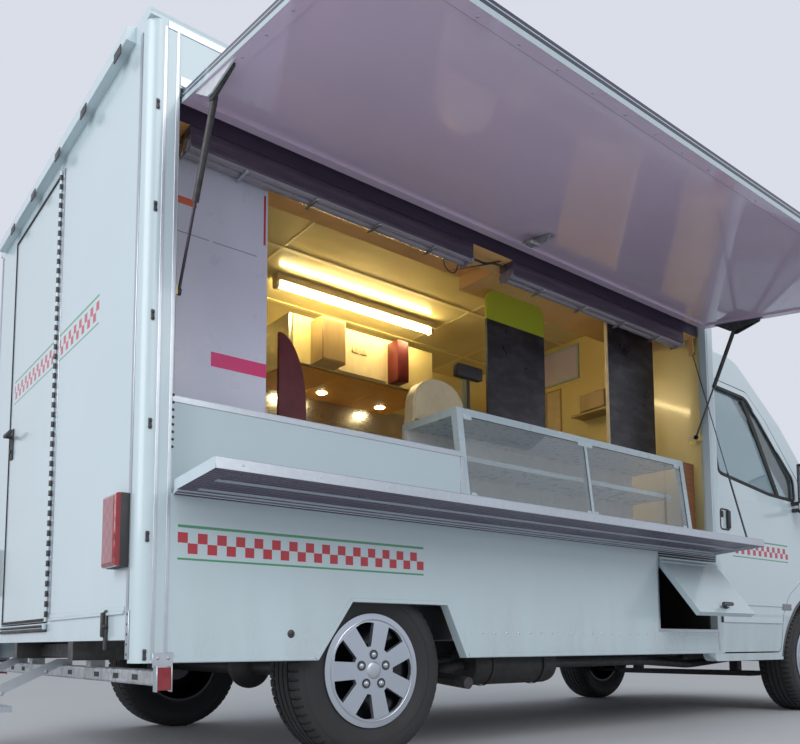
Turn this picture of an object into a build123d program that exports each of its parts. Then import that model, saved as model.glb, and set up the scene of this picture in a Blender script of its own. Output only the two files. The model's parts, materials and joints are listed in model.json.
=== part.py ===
from build123d import *
import math
import os

os.makedirs("parts", exist_ok=True)

# Frame of the sizes below: millimetres, X forward from the box's rear face,
# Y to the vehicle's left from its centre plane, Z up from the ground.

# Clearances used throughout
GAP = 6
SEAT = 0.3
PIN_CLEAR = 0.3

# Box body
BODY_LENGTH = 3390
BODY_WIDTH = 2120
BODY_TOP = 2550
SKIRT_Z = 388
WALL = 40
ROOF = 40
ROOF_EDGE_RADIUS = 30
END_WALL_Z = 460
FLOOR_THICKNESS = 50
POST = 60
FRONT_POST = 90
POST_RADIUS = 42
HALF = BODY_WIDTH / 2
INNER_HALF = HALF - WALL
WALL_TOP = BODY_TOP - ROOF
FLOOR_TOP = END_WALL_Z + FLOOR_THICKNESS
GUTTER_OUT = 34
GUTTER_Z = WALL_TOP - 26
GUTTER_HALF = HALF - 130

# Cab, from its rear wall to its nose
CAB_GAP = 12
CAB_LENGTH = 2158
CAB_X0 = BODY_LENGTH + CAB_GAP
CAB_X1 = CAB_X0 + CAB_LENGTH
CAB_WALL = 42
CAB_HALF = 985
CAB_SILL = 340
SILL_WIDTH = 90
CAB_FLOOR_Z = 720
CAB_FLOOR_THICKNESS = 30
CAB_ROOF_Z = 2345
BELT_Z = 1320
ROOF_RUN = 678
SCREEN_RUN = 1448
BONNET_RUN = 1958
SCREEN_BASE_Z = 1400
BONNET_FRONT_Z = 1110
NOSE_TOP_Z = 940
SCREEN_TOP = (CAB_X0 + ROOF_RUN, CAB_ROOF_Z - 60)
SCREEN_BASE = (CAB_X0 + SCREEN_RUN, SCREEN_BASE_Z)
BONNET_FRONT = (CAB_X0 + BONNET_RUN, BONNET_FRONT_Z)
NOSE_TOP = (CAB_X1 - 70, NOSE_TOP_Z)
NOSE_FLAT = 620
PANEL_GAP = 8
PANE = 5
PANE_DEPTH = 14
FIREWALL_RUN = 1498
FIREWALL_X = CAB_X0 + FIREWALL_RUN
FIREWALL_TOP = SCREEN_BASE[1] - 20

# Wheels
REAR_AXLE_X = 947
FRONT_AXLE_RUN = 1225
FRONT_AXLE_X = CAB_X0 + FRONT_AXLE_RUN
AXLE_Z = 345
TYRE_RADIUS = 345
TYRE_WIDTH = 225
TYRE_SHOULDER = 34
TYRE_BULGE = 45
BEAD_RADIUS = 206
REAR_TYRE_OUT = HALF - 52
FRONT_TYRE_OUT = CAB_HALF - 15
COVER_RADIUS = 217
COVER_SPOKES = 7
COVER_NUTS = 5
NUT_CIRCLE = 60
NUT_RADIUS = 13
HUB_RADIUS = 34
KINGPIN_Y = FRONT_TYRE_OUT - 180
ARCH_RADIUS = 402

# Wheel opening in the skirts, a trapezoid
ARCH_LOW_X0 = REAR_AXLE_X - 287
ARCH_TOP_X0 = REAR_AXLE_X - 139
ARCH_TOP_X1 = REAR_AXLE_X + 325
ARCH_LOW_X1 = REAR_AXLE_X + 429
ARCH_TOP_Z = 600

# Wheel housings on the floor
HOUSING_SHEET = 12
HOUSING_X = 400
HOUSING_IN = INNER_HALF - 280
HOUSING_TOP = 762

# Serving side: one opening, closed by the hatch above and the shelf below
OPEN_X0 = 105
OPEN_X1 = BODY_LENGTH - 105
OPEN_Z0 = 925
OPEN_Z1 = BODY_TOP - 254
SPLIT_Z = 1232
HINGE_OUT = 6
HINGE_LEAF = 22
STAY_GAP = 25
HATCH_THICKNESS = 40
HATCH_FRAME = 48
HATCH_RECESS = 8
HATCH_DROOP = 9
HATCH_TURN = 90 - HATCH_DROOP
HATCH_X0 = OPEN_X0 + GAP
HATCH_X1 = OPEN_X1 - STAY_GAP
HATCH_HINGE_Y = -HALF - HINGE_OUT
HATCH_HINGE_Z = OPEN_Z1 - GAP
SHELF_THICKNESS = 36
SHELF_TILT = 4
SHELF_TURN = 90 - SHELF_TILT
SHELF_HINGE_Z = OPEN_Z0 + 1
SHELF_TOP_Z = SPLIT_Z - GAP
SHELF_GROOVES = ((40, 130), (165, 255))
GROOVE_DEPTH = 8
GROOVE_END = 60

# Hatch brackets and gas struts
BRACKET_THICKNESS = 6
BRACKET_BASE = (95, 380)
PIN_OUT = 208
PIN_IN = 79
PIN_RADIUS = 6
REAR_STRUT_X = OPEN_X0 + 35
FRONT_STRUT_X = OPEN_X1 - 37
STRUT_LOW_Y = -INNER_HALF + 20
STRUT_LOW_Z = OPEN_Z1 - 676
STRUT_RADIUS = 11
STRUT_CYLINDER = 330
ROD_RADIUS = 5
EYE_RADIUS = 12
EYE_LENGTH = 12
LUG_SHEET = 6
LUG_HALF = 15
LUG_BACK = -INNER_HALF + 75

# Stay that carries the shelf
STAY_X = OPEN_X1 - 13
STAY_TOP = (-INNER_HALF + 37, OPEN_Z1 - 171)
STAY_LOW_OUT = 205
STAY_LOW_UP = 60
STAY_CYLINDER = 400
STAY_RADIUS = 5
STAY_ROD = 2.5

# Locker
LOCKER_X1 = BODY_LENGTH - FRONT_POST - 10
LOCKER_LENGTH = 545
LOCKER_X0 = LOCKER_X1 - LOCKER_LENGTH
LOCKER_Z0 = 520
LOCKER_Z1 = 890
LOCKER_DEPTH = 420
LOCKER_SHEET = 10
LOCKER_HINGE_Z = LOCKER_Z1 - 1
LOCKER_OPEN = 38
FLAP_THICKNESS = 28
FLAP_RIM = 24
GRIP_HALF = 45

# Rear door
DOOR_HINGE_Y = -89
DOOR_WIDTH = 781
DOOR_Z0 = END_WALL_Z + 75
DOOR_Z1 = WALL_TOP - 70
DOOR_BORDER = 30
DOOR_HINGE = (-6, DOOR_HINGE_Y + 3)

# Counter and display case
FASCIA_X1 = 1420
FASCIA_Y = -INNER_HALF + 8
BOARD = 22
SILL_Z = 1262
SILL_THICKNESS = 26
COUNTER_IN = -INNER_HALF + 380
CASE_X0 = FASCIA_X1 + 4
CASE_X1 = OPEN_X1 - 125
CASE_Y = FASCIA_Y
CASE_Z0 = 1050
CASE_TOP = 1475
CASE_DEPTH = 427
CASE_POST = 34
CASE_LEAN = 50
CASE_GLASS = 6
CASE_BAR = 18
CASE_MIDDLE = (CASE_X0 + CASE_X1) / 2
CASE_SHELF = 14
END_BOARD_Y = -INNER_HALF + 65

# Lamp housings, header and boards above the counter
BATTEN_Y = -INNER_HALF + 57
BATTEN_HALF = 45
BATTEN_Z0 = OPEN_Z1 - 166
BATTEN_Z1 = OPEN_Z1 - 76
BATTENS = (  # x0, x1
    (OPEN_X0 + 60, 1500),
    (1750, OPEN_X1 - 135),
)
HEADER_FRONT = -INNER_HALF + 12
HEADER_STEP = -INNER_HALF + 160
HEADER_IN = -INNER_HALF + 490
HEADER_Z = OPEN_Z1 + 49
DROPPED_X0 = 1850
DROPPED_Z = OPEN_Z1 - 20
BOARD_SHEET = 14
BOARD_RADIUS = 60
TALL_BOARD = (OPEN_X0 + 62, 520, -INNER_HALF + 108, OPEN_Z1 - 96)  # x0, x1, y, top
BOARDS = (  # x0, x1, y
    (1940, 2375, COUNTER_IN),
    (CASE_X1 - 440, CASE_X1 - 10, -INNER_HALF + 220),
)

# Kitchen units along the far wall
KITCHEN_X0 = 150
KITCHEN_X1 = BODY_LENGTH - 140
KITCHEN_Y = INNER_HALF - 590
KITCHEN_SHEET = 30
WORKTOP_Z = 1400
WORKTOP_THICKNESS = 40
WORKTOP_NOSE = 20
PLINTH_SHEET = 25
PLINTH_DEPTH = 240
SPLASH_THICKNESS = 12
HOOD_X = (1440, 2550)
HOOD_Y = INNER_HALF - 520
HOOD_Z = (BODY_TOP - 450, BODY_TOP - 150)

# Chassis
RAIL_Y = 380
RAIL_WIDTH = 60
RAIL_HEIGHT = 70
RAIL_TOP = END_WALL_Z
RAIL_END_X = CAB_X1 - 60 - SEAT
CAB_MOUNTS_X = (CAB_X0 + 98, CAB_X0 + 838)
CROSS_MEMBERS_X = (130, REAR_AXLE_X + 803, LOCKER_X0 - 45, CAB_X0 + 78, RAIL_END_X - 60)
AXLE_RADIUS = 38
DIFFERENTIAL_RADIUS = 105
SPRING_Y = 520
SPRING_HALF = 620
SPRING_WIDTH = 60
SPRING_LEAF = 14

# Rear beam, step and lamps
BEAM_X0 = 62
BEAM_X1 = 124
BEAM_Z0 = 318
BEAM_TOP = 366
BEAM_END = 6
STEP_Y = (-100, 600)
STEP_OUT = 350
STEP_Z = 190
STEP_TREAD = 230
STEP_SHEET = 8
TAIL_LAMP_Y = HALF - 128
TAIL_LAMP_WIDTH = 124
TAIL_LAMP_Z = (690, 922)
TAIL_LAMP_OUT = 50
MARKER_X = (BEAM_X0 + 4, BEAM_X0 + 48)
MARKER_Z = (BEAM_Z0 - 13, BEAM_TOP + 9)
MARKER_OUT = 28

# Front axle
HUB_Y = FRONT_TYRE_OUT - TYRE_WIDTH / 2
LOWER_ARM_Z = 250
UPPER_ARM_Z = 410
ARM_THICKNESS = 26
ARM_HALF = 60
KINGPIN_RADIUS = 24

# Cab doors and their windows
DOOR_X0 = CAB_X0 + 70
CAB_DOOR_LENGTH = 1088
DOOR_X1 = DOOR_X0 + CAB_DOOR_LENGTH
DOOR_BOTTOM = CAB_SILL + CAB_WALL + PANEL_GAP + 2
DOOR_TOP = CAB_ROOF_Z - 235
DOOR_STEP_X = FRONT_AXLE_X - ARCH_RADIUS - 35
DOOR_HINGES_Z = (980, 1180)
DOOR_HINGE_HEIGHT = 80
WINDOW_SILL = 1400

# Bonnet, bumper, grille and headlamps
BONNET_X0 = SCREEN_BASE[0] + 70
BONNET_HALF = 760
BUMPER_X0 = FRONT_AXLE_X + ARCH_RADIUS + 91
BUMPER_TOP = 700
BUMPER_LOW = 300
BUMPER_WALL = 60
GRILLE_HALF = 480
GRILLE_Z = (760, 960)
GRILLE_FRAME = 26
GRILLE_SLATS = 5
LAMP_X0 = CAB_X1 - 330
LAMP_IN = GRILLE_HALF + 80
LAMP_Z = (GRILLE_Z[0] + 10, GRILLE_Z[1] + 50)

# Mirrors
MIRROR_X = (DOOR_X1 - 195, DOOR_X1 - 120)
MIRROR_Y = (CAB_HALF + 45, CAB_HALF + 195)
MIRROR_Z = (1290, 1610)

# Dashboard, steering and seats
DASH_X0 = DOOR_X1
DASH_Z = (1000, 1330)
DASH_HALF = CAB_HALF - 125
WHEEL_Y = 410
WHEEL_CENTRE = (DASH_X0 - 140, WHEEL_Y, 1300)
WHEEL_RIM_RADIUS = 190
WHEEL_RIM = 14
COLUMN_RADIUS = 24
STEERING_TILT = 55
TILT = math.radians(STEERING_TILT)
COLUMN_LENGTH = (DASH_X0 - SEAT - WHEEL_CENTRE[0] - COLUMN_RADIUS * math.cos(TILT)) / math.sin(TILT)
SEAT_BOX_TOP = CAB_FLOOR_Z + 260
SEAT_PAD = 140
SEAT_X = (CAB_X0 + 238, CAB_X0 + 718)
SEAT_BACK_X = (CAB_X0 + 158, CAB_X0 + 328)
SEAT_BACK_TOP = CAB_FLOOR_Z + 1010
SEATS_Y = ((WHEEL_Y - 240, WHEEL_Y + 240), (-720, 60))

# Engine
ENGINE_X = (FIREWALL_X + 45, FIREWALL_X + 445)
ENGINE_TOP = 980


def block(x0, x1, y0, y1, z0, z1):
    """A block between two corners."""
    size = Box(x1 - x0, y1 - y0, z1 - z0)
    return Pos((x0 + x1) / 2, (y0 + y1) / 2, (z0 + z1) / 2) * size


def outline(points, radius=0):
    """A flat face inside straight sides, with rounded corners if a radius is given."""
    if radius:
        return make_face(FilletPolyline(*points, radius=radius, close=True))
    return make_face(Polyline(*points, close=True))


def along_y(face, y0, y1):
    """An outline in X and Z, carried from y0 to y1."""
    return Pos(0, y0, 0) * extrude(Plane.XZ * face, amount=y1 - y0, dir=(0, 1, 0))


def along_x(face, x0, x1):
    """An outline in Y and Z, carried from x0 to x1."""
    return Pos(x0, 0, 0) * extrude(Plane.YZ * face, amount=x1 - x0)


def along_z(face, z0, z1):
    """An outline in X and Y, carried from z0 to z1."""
    return Pos(0, 0, z0) * extrude(face, amount=z1 - z0)


def rod(start, end, radius):
    """A round bar from one point to another."""
    a, b = Vector(*start), Vector(*end)
    return Plane(origin=a, z_dir=b - a) * Cylinder(
        radius, (b - a).length, align=(Align.CENTER, Align.CENTER, Align.MIN)
    )


def turn_x(shape, degrees, y, z):
    """A shape turned about a line along X through y, z."""
    return Pos(0, y, z) * Rot(degrees, 0, 0) * Pos(0, -y, -z) * shape


def spin(points):
    """A wheel-like solid: an outline of (radius, height along Y), spun about the Y axis."""
    return revolve(outline(points), axis=Axis.Y)


# Body shell


def corner_posts():
    """Four corner posts with rounded outer corners."""
    posts = []
    for x0, x1, round_x in ((0, POST, 0), (BODY_LENGTH - FRONT_POST, BODY_LENGTH, BODY_LENGTH)):
        for side in (-1, 1):
            y0, y1 = sorted((side * (HALF - POST), side * HALF))
            post = block(x0, x1, y0, y1, SKIRT_Z, WALL_TOP)
            corner = [
                e for e in post.edges().filter_by(Axis.Z)
                if abs(e.center().X - round_x) < 1 and abs(abs(e.center().Y) - HALF) < 1
            ]
            posts.append(fillet(corner, POST_RADIUS))
    return posts


def wheel_opening(y0, y1):
    """The trapezoid cut in the skirt round a rear wheel."""
    face = outline([
        (ARCH_LOW_X0, SKIRT_Z - 50), (ARCH_LOW_X0, SKIRT_Z), (ARCH_TOP_X0, ARCH_TOP_Z),
        (ARCH_TOP_X1, ARCH_TOP_Z), (ARCH_LOW_X1, SKIRT_Z), (ARCH_LOW_X1, SKIRT_Z - 50),
    ])
    return along_y(face, y0, y1)


def side_wall(side):
    """One side wall with its skirt and wheel opening."""
    y0, y1 = sorted((side * INNER_HALF, side * HALF))
    wall = block(POST, BODY_LENGTH - FRONT_POST, y0, y1, SKIRT_Z, WALL_TOP)
    wall -= wheel_opening(y0 - 1, y1 + 1)
    return wall


def right_wall():
    """The serving side's wall: the wide opening and the locker's opening are cut in it."""
    wall = side_wall(-1)
    wall -= block(OPEN_X0, OPEN_X1, -HALF - 1, -INNER_HALF + 1, OPEN_Z0, OPEN_Z1)
    wall -= block(LOCKER_X0, LOCKER_X1, -HALF - 1, -INNER_HALF + 1, LOCKER_Z0, LOCKER_Z1)
    for x, edge, inward in ((REAR_STRUT_X, OPEN_X0, 1), (FRONT_STRUT_X, OPEN_X1, -1)):
        wall += jamb_lug(x, edge, inward)
    return wall


def jamb_lug(x, edge, inward):
    """The bracket behind a jamb that takes the lower stud of a gas strut: foot, bar and plate."""
    z0, z1 = STRUT_LOW_Z - LUG_HALF, STRUT_LOW_Z + LUG_HALF
    side = x - inward * (EYE_LENGTH / 2 + 3)
    root_edge = edge - inward * 14
    plate = block(*sorted((side - inward * LUG_SHEET, side)), -INNER_HALF + GAP, LUG_BACK, z0, z1)
    bar = block(*sorted((root_edge, side)), LUG_BACK - 30, LUG_BACK, z0, z1)
    foot = block(*sorted((root_edge, edge - inward)), -INNER_HALF, LUG_BACK, z0, z1)
    return plate + bar + foot


def end_wall(x0, x1):
    """An end wall between the posts."""
    return block(x0, x1, -(HALF - POST), HALF - POST, END_WALL_Z, WALL_TOP)


def rear_wall():
    """The rear wall with its doorway."""
    wall = end_wall(0, WALL)
    doorway = block(-1, WALL + 1, DOOR_HINGE_Y, DOOR_HINGE_Y + DOOR_WIDTH, DOOR_Z0, DOOR_Z1)
    return wall - doorway


def roof():
    """The roof panel with rounded long edges and the gutter lip over the rear doorway."""
    panel = block(0, BODY_LENGTH, -HALF, HALF, WALL_TOP, BODY_TOP)
    upper = panel.edges().filter_by(Axis.X).group_by(Axis.Z)[-1]
    panel = fillet(upper, ROOF_EDGE_RADIUS)
    lip = outline([
        (-GUTTER_OUT, GUTTER_Z), (0, GUTTER_Z), (0, BODY_TOP - 6), (-GUTTER_OUT, BODY_TOP - 20),
    ])
    return panel + along_y(lip, -GUTTER_HALF, GUTTER_HALF)


def wheel_housing(side):
    """A box over one rear wheel, standing on the floor."""
    x0, x1 = REAR_AXLE_X - HOUSING_X, REAR_AXLE_X + HOUSING_X
    y0, y1 = sorted((side * HOUSING_IN, side * INNER_HALF))
    outer = block(x0, x1, y0, y1, END_WALL_Z, HOUSING_TOP)
    t = HOUSING_SHEET
    y2, y3 = sorted((side * (HOUSING_IN + t), side * (INNER_HALF + 1)))
    inner = block(x0 + t, x1 - t, y2, y3, END_WALL_Z - 1, HOUSING_TOP - t)
    return outer, inner


def floor():
    """The floor with the wheel housings standing in it."""
    slab = block(WALL, BODY_LENGTH - WALL, -INNER_HALF, INNER_HALF, END_WALL_Z, FLOOR_TOP)
    for x0, x1 in ((0, POST), (BODY_LENGTH - FRONT_POST, BODY_LENGTH)):
        for side in (-1, 1):
            y0, y1 = sorted((side * (HALF - POST), side * HALF))
            slab -= block(x0, x1, y0, y1, END_WALL_Z - 1, FLOOR_TOP + 1)
    for side in (-1, 1):
        outer, inner = wheel_housing(side)
        slab = slab + outer - inner
    return slab


def rear_door():
    """The rear door: a flat panel with a raised border, its long hinge on the outer face."""
    y0 = DOOR_HINGE_Y + GAP
    y1 = DOOR_HINGE_Y + DOOR_WIDTH - GAP
    z0, z1 = DOOR_Z0 + GAP, DOOR_Z1 - GAP
    panel = block(0, WALL, y0, y1, z0, z1)
    panel -= block(
        WALL - 4, WALL + 1, y0 + DOOR_BORDER, y1 - DOOR_BORDER, z0 + DOOR_BORDER, z1 - DOOR_BORDER
    )
    hinge_x, hinge_y = DOOR_HINGE
    leaf = block(hinge_x / 2, 0, hinge_y, y0 + HINGE_LEAF, z0, z1)
    radius = math.hypot(hinge_x, hinge_y - DOOR_HINGE_Y) - SEAT
    return panel + leaf + rod((hinge_x, hinge_y, z0), (hinge_x, hinge_y, z1), radius)


# Hatch, shelf and locker flap, each built closed and then turned to where it rests


def hinge_barrel(x0, x1, z, rise):
    """A long hinge's barrel, whose surface comes to its seat at the corner of the opening."""
    radius = math.hypot(HINGE_OUT, rise) - SEAT
    return rod((x0, HATCH_HINGE_Y, z), (x1, HATCH_HINGE_Y, z), radius)


def hatch_at_rest(shape):
    """Turn a piece of the closed hatch up to its raised place."""
    return turn_x(shape, -HATCH_TURN, HATCH_HINGE_Y, HATCH_HINGE_Z)


def hatch_panel():
    """The raised hatch: a framed panel with a recessed inner face."""
    y_out = -HALF
    y_in = y_out + HATCH_THICKNESS
    z0, z1 = SPLIT_Z, HATCH_HINGE_Z
    panel = block(HATCH_X0, HATCH_X1, y_out, y_in, z0, z1)
    f = HATCH_FRAME
    panel -= block(HATCH_X0 + f, HATCH_X1 - f, y_in - HATCH_RECESS, y_in + 1, z0 + f, z1 - f)
    leaf = block(HATCH_X0, HATCH_X1, HATCH_HINGE_Y, y_out, z1 - HINGE_LEAF, z1)
    barrel = hinge_barrel(HATCH_X0, HATCH_X1, HATCH_HINGE_Z, OPEN_Z1 - HATCH_HINGE_Z)
    return hatch_at_rest(panel + leaf + barrel)


def hatch_point(out, inward):
    """A point on the closed hatch: how far down from the hinge, how far in from its axis."""
    return (HATCH_HINGE_Y + inward, HATCH_HINGE_Z - out)


def at_rest(y, z):
    """Where a point of the closed hatch lies with the hatch raised."""
    a = math.radians(-HATCH_TURN)
    dy, dz = y - HATCH_HINGE_Y, z - HATCH_HINGE_Z
    return (
        HATCH_HINGE_Y + dy * math.cos(a) - dz * math.sin(a),
        HATCH_HINGE_Z + dy * math.sin(a) + dz * math.cos(a),
    )


def hatch_brackets():
    """Two four-cornered plates under the hatch, each with the pin of its gas strut."""
    face_y = HATCH_HINGE_Y + HINGE_OUT + HATCH_THICKNESS
    pin_y, pin_z = hatch_point(PIN_OUT, PIN_IN)
    pieces = []
    for x in (REAR_STRUT_X, FRONT_STRUT_X):
        x_plate = x - STRUT_RADIUS - 4
        tri = outline([
            (face_y, HATCH_HINGE_Z - BRACKET_BASE[0]),
            (face_y, HATCH_HINGE_Z - BRACKET_BASE[1]),
            (pin_y + 14, pin_z - 16),
            (pin_y + 14, pin_z + 16),
        ])
        plate = along_x(tri, x_plate - BRACKET_THICKNESS, x_plate)
        pin = rod((x_plate - 1, pin_y, pin_z), (x + 8, pin_y, pin_z), PIN_RADIUS)
        pieces.append(hatch_at_rest(plate + pin))
    return pieces


def strut(x, top, low, cylinder_length, radius, rod_radius, stud_side):
    """A telescopic strut in the plane x: a pierced eye and its cylinder, and a rod with a studded eye."""
    ty, tz = top
    ly, lz = low
    length = math.hypot(ly - ty, lz - tz)
    dy, dz = (ly - ty) / length, (lz - tz) / length

    def point(s):
        return (x, ty + dy * s, tz + dz * s)

    half_eye = EYE_LENGTH / 2
    eye = rod((x - half_eye, ty, tz), (x + half_eye, ty, tz), EYE_RADIUS)
    body = rod(point(EYE_RADIUS - 3), point(cylinder_length), radius)
    bore = rod(point(EYE_RADIUS * 2), point(cylinder_length + 1), rod_radius + PIN_CLEAR)
    hole = rod((x - EYE_LENGTH, ty, tz), (x + EYE_LENGTH, ty, tz), PIN_RADIUS + PIN_CLEAR)
    cylinder = eye + body - bore - hole
    low_eye = rod((x - half_eye, ly, lz), (x + half_eye, ly, lz), EYE_RADIUS)
    stud = rod((x, ly, lz), (x + stud_side * (half_eye + 3 - SEAT), ly, lz), PIN_RADIUS)
    stem = rod(point(cylinder_length - 40), point(length - EYE_RADIUS + 3), rod_radius)
    return cylinder, stem + low_eye + stud


def shelf_at_rest(shape):
    """Turn a piece of the closed shelf down to its lowered place."""
    return turn_x(shape, SHELF_TURN, HATCH_HINGE_Y, SHELF_HINGE_Z)


def shelf_point(out, inward):
    """A point of the lowered shelf, from its distance along and above the shelf."""
    a = math.radians(SHELF_TURN)
    return (
        HATCH_HINGE_Y - out * math.sin(a) + inward * math.cos(a),
        SHELF_HINGE_Z + out * math.cos(a) + inward * math.sin(a),
    )


def counter_shelf():
    """The lowered shelf: a slab with two long grooves underneath, its hinge and the stay's lug and pin."""
    y_out = -HALF
    z0, z1 = SHELF_HINGE_Z + 4, SHELF_TOP_Z
    slab = block(HATCH_X0, HATCH_X1, y_out, y_out + SHELF_THICKNESS, z0, z1)
    for low, high in SHELF_GROOVES:
        slab -= block(
            HATCH_X0 + GROOVE_END, HATCH_X1 - GROOVE_END, y_out - 1, y_out + GROOVE_DEPTH,
            SHELF_HINGE_Z + low, SHELF_HINGE_Z + high,
        )
    leaf = block(HATCH_X0, HATCH_X1, HATCH_HINGE_Y, y_out, z0, z0 + HINGE_LEAF - 2)
    lug_y = HATCH_HINGE_Y + STAY_LOW_UP
    lug_z = SHELF_HINGE_Z + STAY_LOW_OUT
    lug = block(
        HATCH_X1 - LUG_SHEET, HATCH_X1, y_out + SHELF_THICKNESS - 1, lug_y + 10, lug_z - 12, lug_z + 12
    )
    pin = rod((HATCH_X1 - 1, lug_y, lug_z), (STAY_X + 8, lug_y, lug_z), PIN_RADIUS)
    barrel = hinge_barrel(HATCH_X0, HATCH_X1, SHELF_HINGE_Z, SHELF_HINGE_Z - OPEN_Z0)
    return shelf_at_rest(slab + leaf + barrel + lug + pin)


def locker_flap():
    """The locker's flap, top-hinged, with its rim turned in and a T-shaped grip."""
    x0, x1 = LOCKER_X0 + GAP, LOCKER_X1 - GAP
    y_out = -HALF
    z0, z1 = LOCKER_Z0 + GAP, LOCKER_HINGE_Z - 4
    panel = block(x0, x1, y_out, y_out + FLAP_THICKNESS, z0, z1)
    panel -= block(
        x0 + FLAP_RIM, x1 - FLAP_RIM, y_out + FLAP_THICKNESS - 12, y_out + FLAP_THICKNESS + 1,
        z0 + FLAP_RIM, z1 - FLAP_RIM,
    )
    leaf = block(x0, x1, HATCH_HINGE_Y, y_out, z1 - 20, z1)
    grip_x = (x0 + x1) / 2
    stem = block(grip_x - 12, grip_x + 12, y_out - 22, y_out, z0 + 26, z0 + 50)
    grip = block(grip_x - GRIP_HALF, grip_x + GRIP_HALF, y_out - 34, y_out - 20, z0 + 30, z0 + 46)
    barrel = hinge_barrel(x0, x1, LOCKER_HINGE_Z, LOCKER_Z1 - LOCKER_HINGE_Z)
    flap = panel + leaf + barrel + stem + grip
    return turn_x(flap, -LOCKER_OPEN, HATCH_HINGE_Y, LOCKER_HINGE_Z)


def locker_box():
    """The tray behind the locker's opening, standing on the floor."""
    t = LOCKER_SHEET
    outer = block(
        LOCKER_X0 - t, LOCKER_X1, -INNER_HALF, -INNER_HALF + LOCKER_DEPTH, FLOOR_TOP, LOCKER_Z1 + t
    )
    inner = block(
        LOCKER_X0, LOCKER_X1 - t, -INNER_HALF - 1, -INNER_HALF + LOCKER_DEPTH - t, FLOOR_TOP + t, LOCKER_Z1
    )
    return outer - inner


# Inside of the box, as far as it shows through the opening


def counter():
    """The serving counter: a front board, a sill on it, and the bed that carries the display case."""
    sill_low = SILL_Z - SILL_THICKNESS
    front = block(OPEN_X0, FASCIA_X1, FASCIA_Y, FASCIA_Y + BOARD, FLOOR_TOP, sill_low)
    front -= block(
        REAR_AXLE_X - HOUSING_X - GAP, REAR_AXLE_X + HOUSING_X + GAP,
        -INNER_HALF, COUNTER_IN, FLOOR_TOP - 1, HOUSING_TOP + SEAT,
    )
    sill = block(OPEN_X0, FASCIA_X1, FASCIA_Y, COUNTER_IN, sill_low, SILL_Z)
    base = block(FASCIA_X1, OPEN_X1, CASE_Y, CASE_Y + BOARD, LOCKER_Z1 + 30, CASE_Z0)
    bed = block(FASCIA_X1, OPEN_X1, CASE_Y, COUNTER_IN, CASE_Z0 - SILL_THICKNESS, CASE_Z0)
    leg = block(FASCIA_X1 - BOARD, FASCIA_X1, FASCIA_Y + BOARD, COUNTER_IN, FLOOR_TOP, sill_low)
    return front + sill + base + bed + leg


def case_end_board():
    """The upright board on the counter's bed between the display case and the front jamb."""
    return block(CASE_X1 + 10, OPEN_X1, END_BOARD_Y, END_BOARD_Y + BOARD, CASE_Z0, CASE_TOP)


def case_section(inset):
    """The display case's cross-section, its front leaning in towards the top."""
    y0, y1 = CASE_Y + inset, CASE_Y + CASE_DEPTH - inset
    z0, z1 = CASE_Z0 + inset, CASE_TOP - inset
    return [(y0, z0), (y1, z0), (y1, z1), (y0 + CASE_LEAN, z1)]


def display_case_frame():
    """The display case's frame: two end frames, long rails, a middle bar and a shelf."""
    outer = outline(case_section(0))
    inner = outline(case_section(CASE_POST))
    ring = outer - inner
    frame = along_x(ring, CASE_X0, CASE_X0 + CASE_POST)
    frame += along_x(ring, CASE_X1 - CASE_POST, CASE_X1)
    rails = along_x(ring, CASE_X0, CASE_X1)
    y_cut = CASE_Y + CASE_LEAN + CASE_POST * 2
    low, high = CASE_Z0 + CASE_POST, CASE_TOP - CASE_POST
    front_cut = outline([(CASE_Y - 10, low), (y_cut, low), (y_cut, high), (CASE_Y - 10, high)])
    rails -= along_x(front_cut, CASE_X0 - 1, CASE_X1 + 1)
    shelf_z = (CASE_Z0 + CASE_TOP) / 2
    shelf = block(
        CASE_X0 + CASE_POST - 1, CASE_X1 - CASE_POST + 1,
        CASE_Y + CASE_LEAN + 60, CASE_Y + CASE_DEPTH - CASE_POST + 2, shelf_z, shelf_z + CASE_SHELF,
    )
    bar = along_x(ring, CASE_MIDDLE - CASE_BAR / 2, CASE_MIDDLE + CASE_BAR / 2)
    return frame + rails + shelf + bar


def display_case_glass():
    """Two leaning panes set between the frames, just inside the front line."""
    z0, z1 = CASE_Z0 + CASE_POST, CASE_TOP - CASE_POST
    slope = CASE_LEAN / (CASE_TOP - CASE_Z0)

    def front(z):
        return CASE_Y + 4 + slope * (z - CASE_Z0)

    face = outline([
        (front(z0), z0 + SEAT), (front(z0) + CASE_GLASS, z0 + SEAT),
        (front(z1) + CASE_GLASS, z1 - SEAT), (front(z1), z1 - SEAT),
    ])
    half_bar = CASE_BAR / 2 + SEAT
    return [
        along_x(face, CASE_X0 + CASE_POST + SEAT, CASE_MIDDLE - half_bar),
        along_x(face, CASE_MIDDLE + half_bar, CASE_X1 - CASE_POST - SEAT),
    ]


def sign_boards():
    """Blank boards in the opening: the tall one beside the rear jamb and two on the display case."""
    x0, x1, y, top = TALL_BOARD
    boards = [block(x0, x1, y, y + BOARD_SHEET, SILL_Z, top)]
    top = DROPPED_Z - SEAT
    for x0, x1, y in BOARDS:
        face = outline([(x0, CASE_TOP), (x1, CASE_TOP), (x1, top), (x0, top)], radius=BOARD_RADIUS)
        boards.append(along_y(face, y, y + BOARD_SHEET))
    return boards


def lamp_battens():
    """Two long lamp housings with rounded edges, under the header."""
    y0, y1 = BATTEN_Y - BATTEN_HALF, BATTEN_Y + BATTEN_HALF
    face = outline([(y0, BATTEN_Z0), (y1, BATTEN_Z0), (y1, BATTEN_Z1), (y0, BATTEN_Z1)], radius=20)
    return [along_x(face, x0, x1) for x0, x1 in BATTENS]


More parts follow.
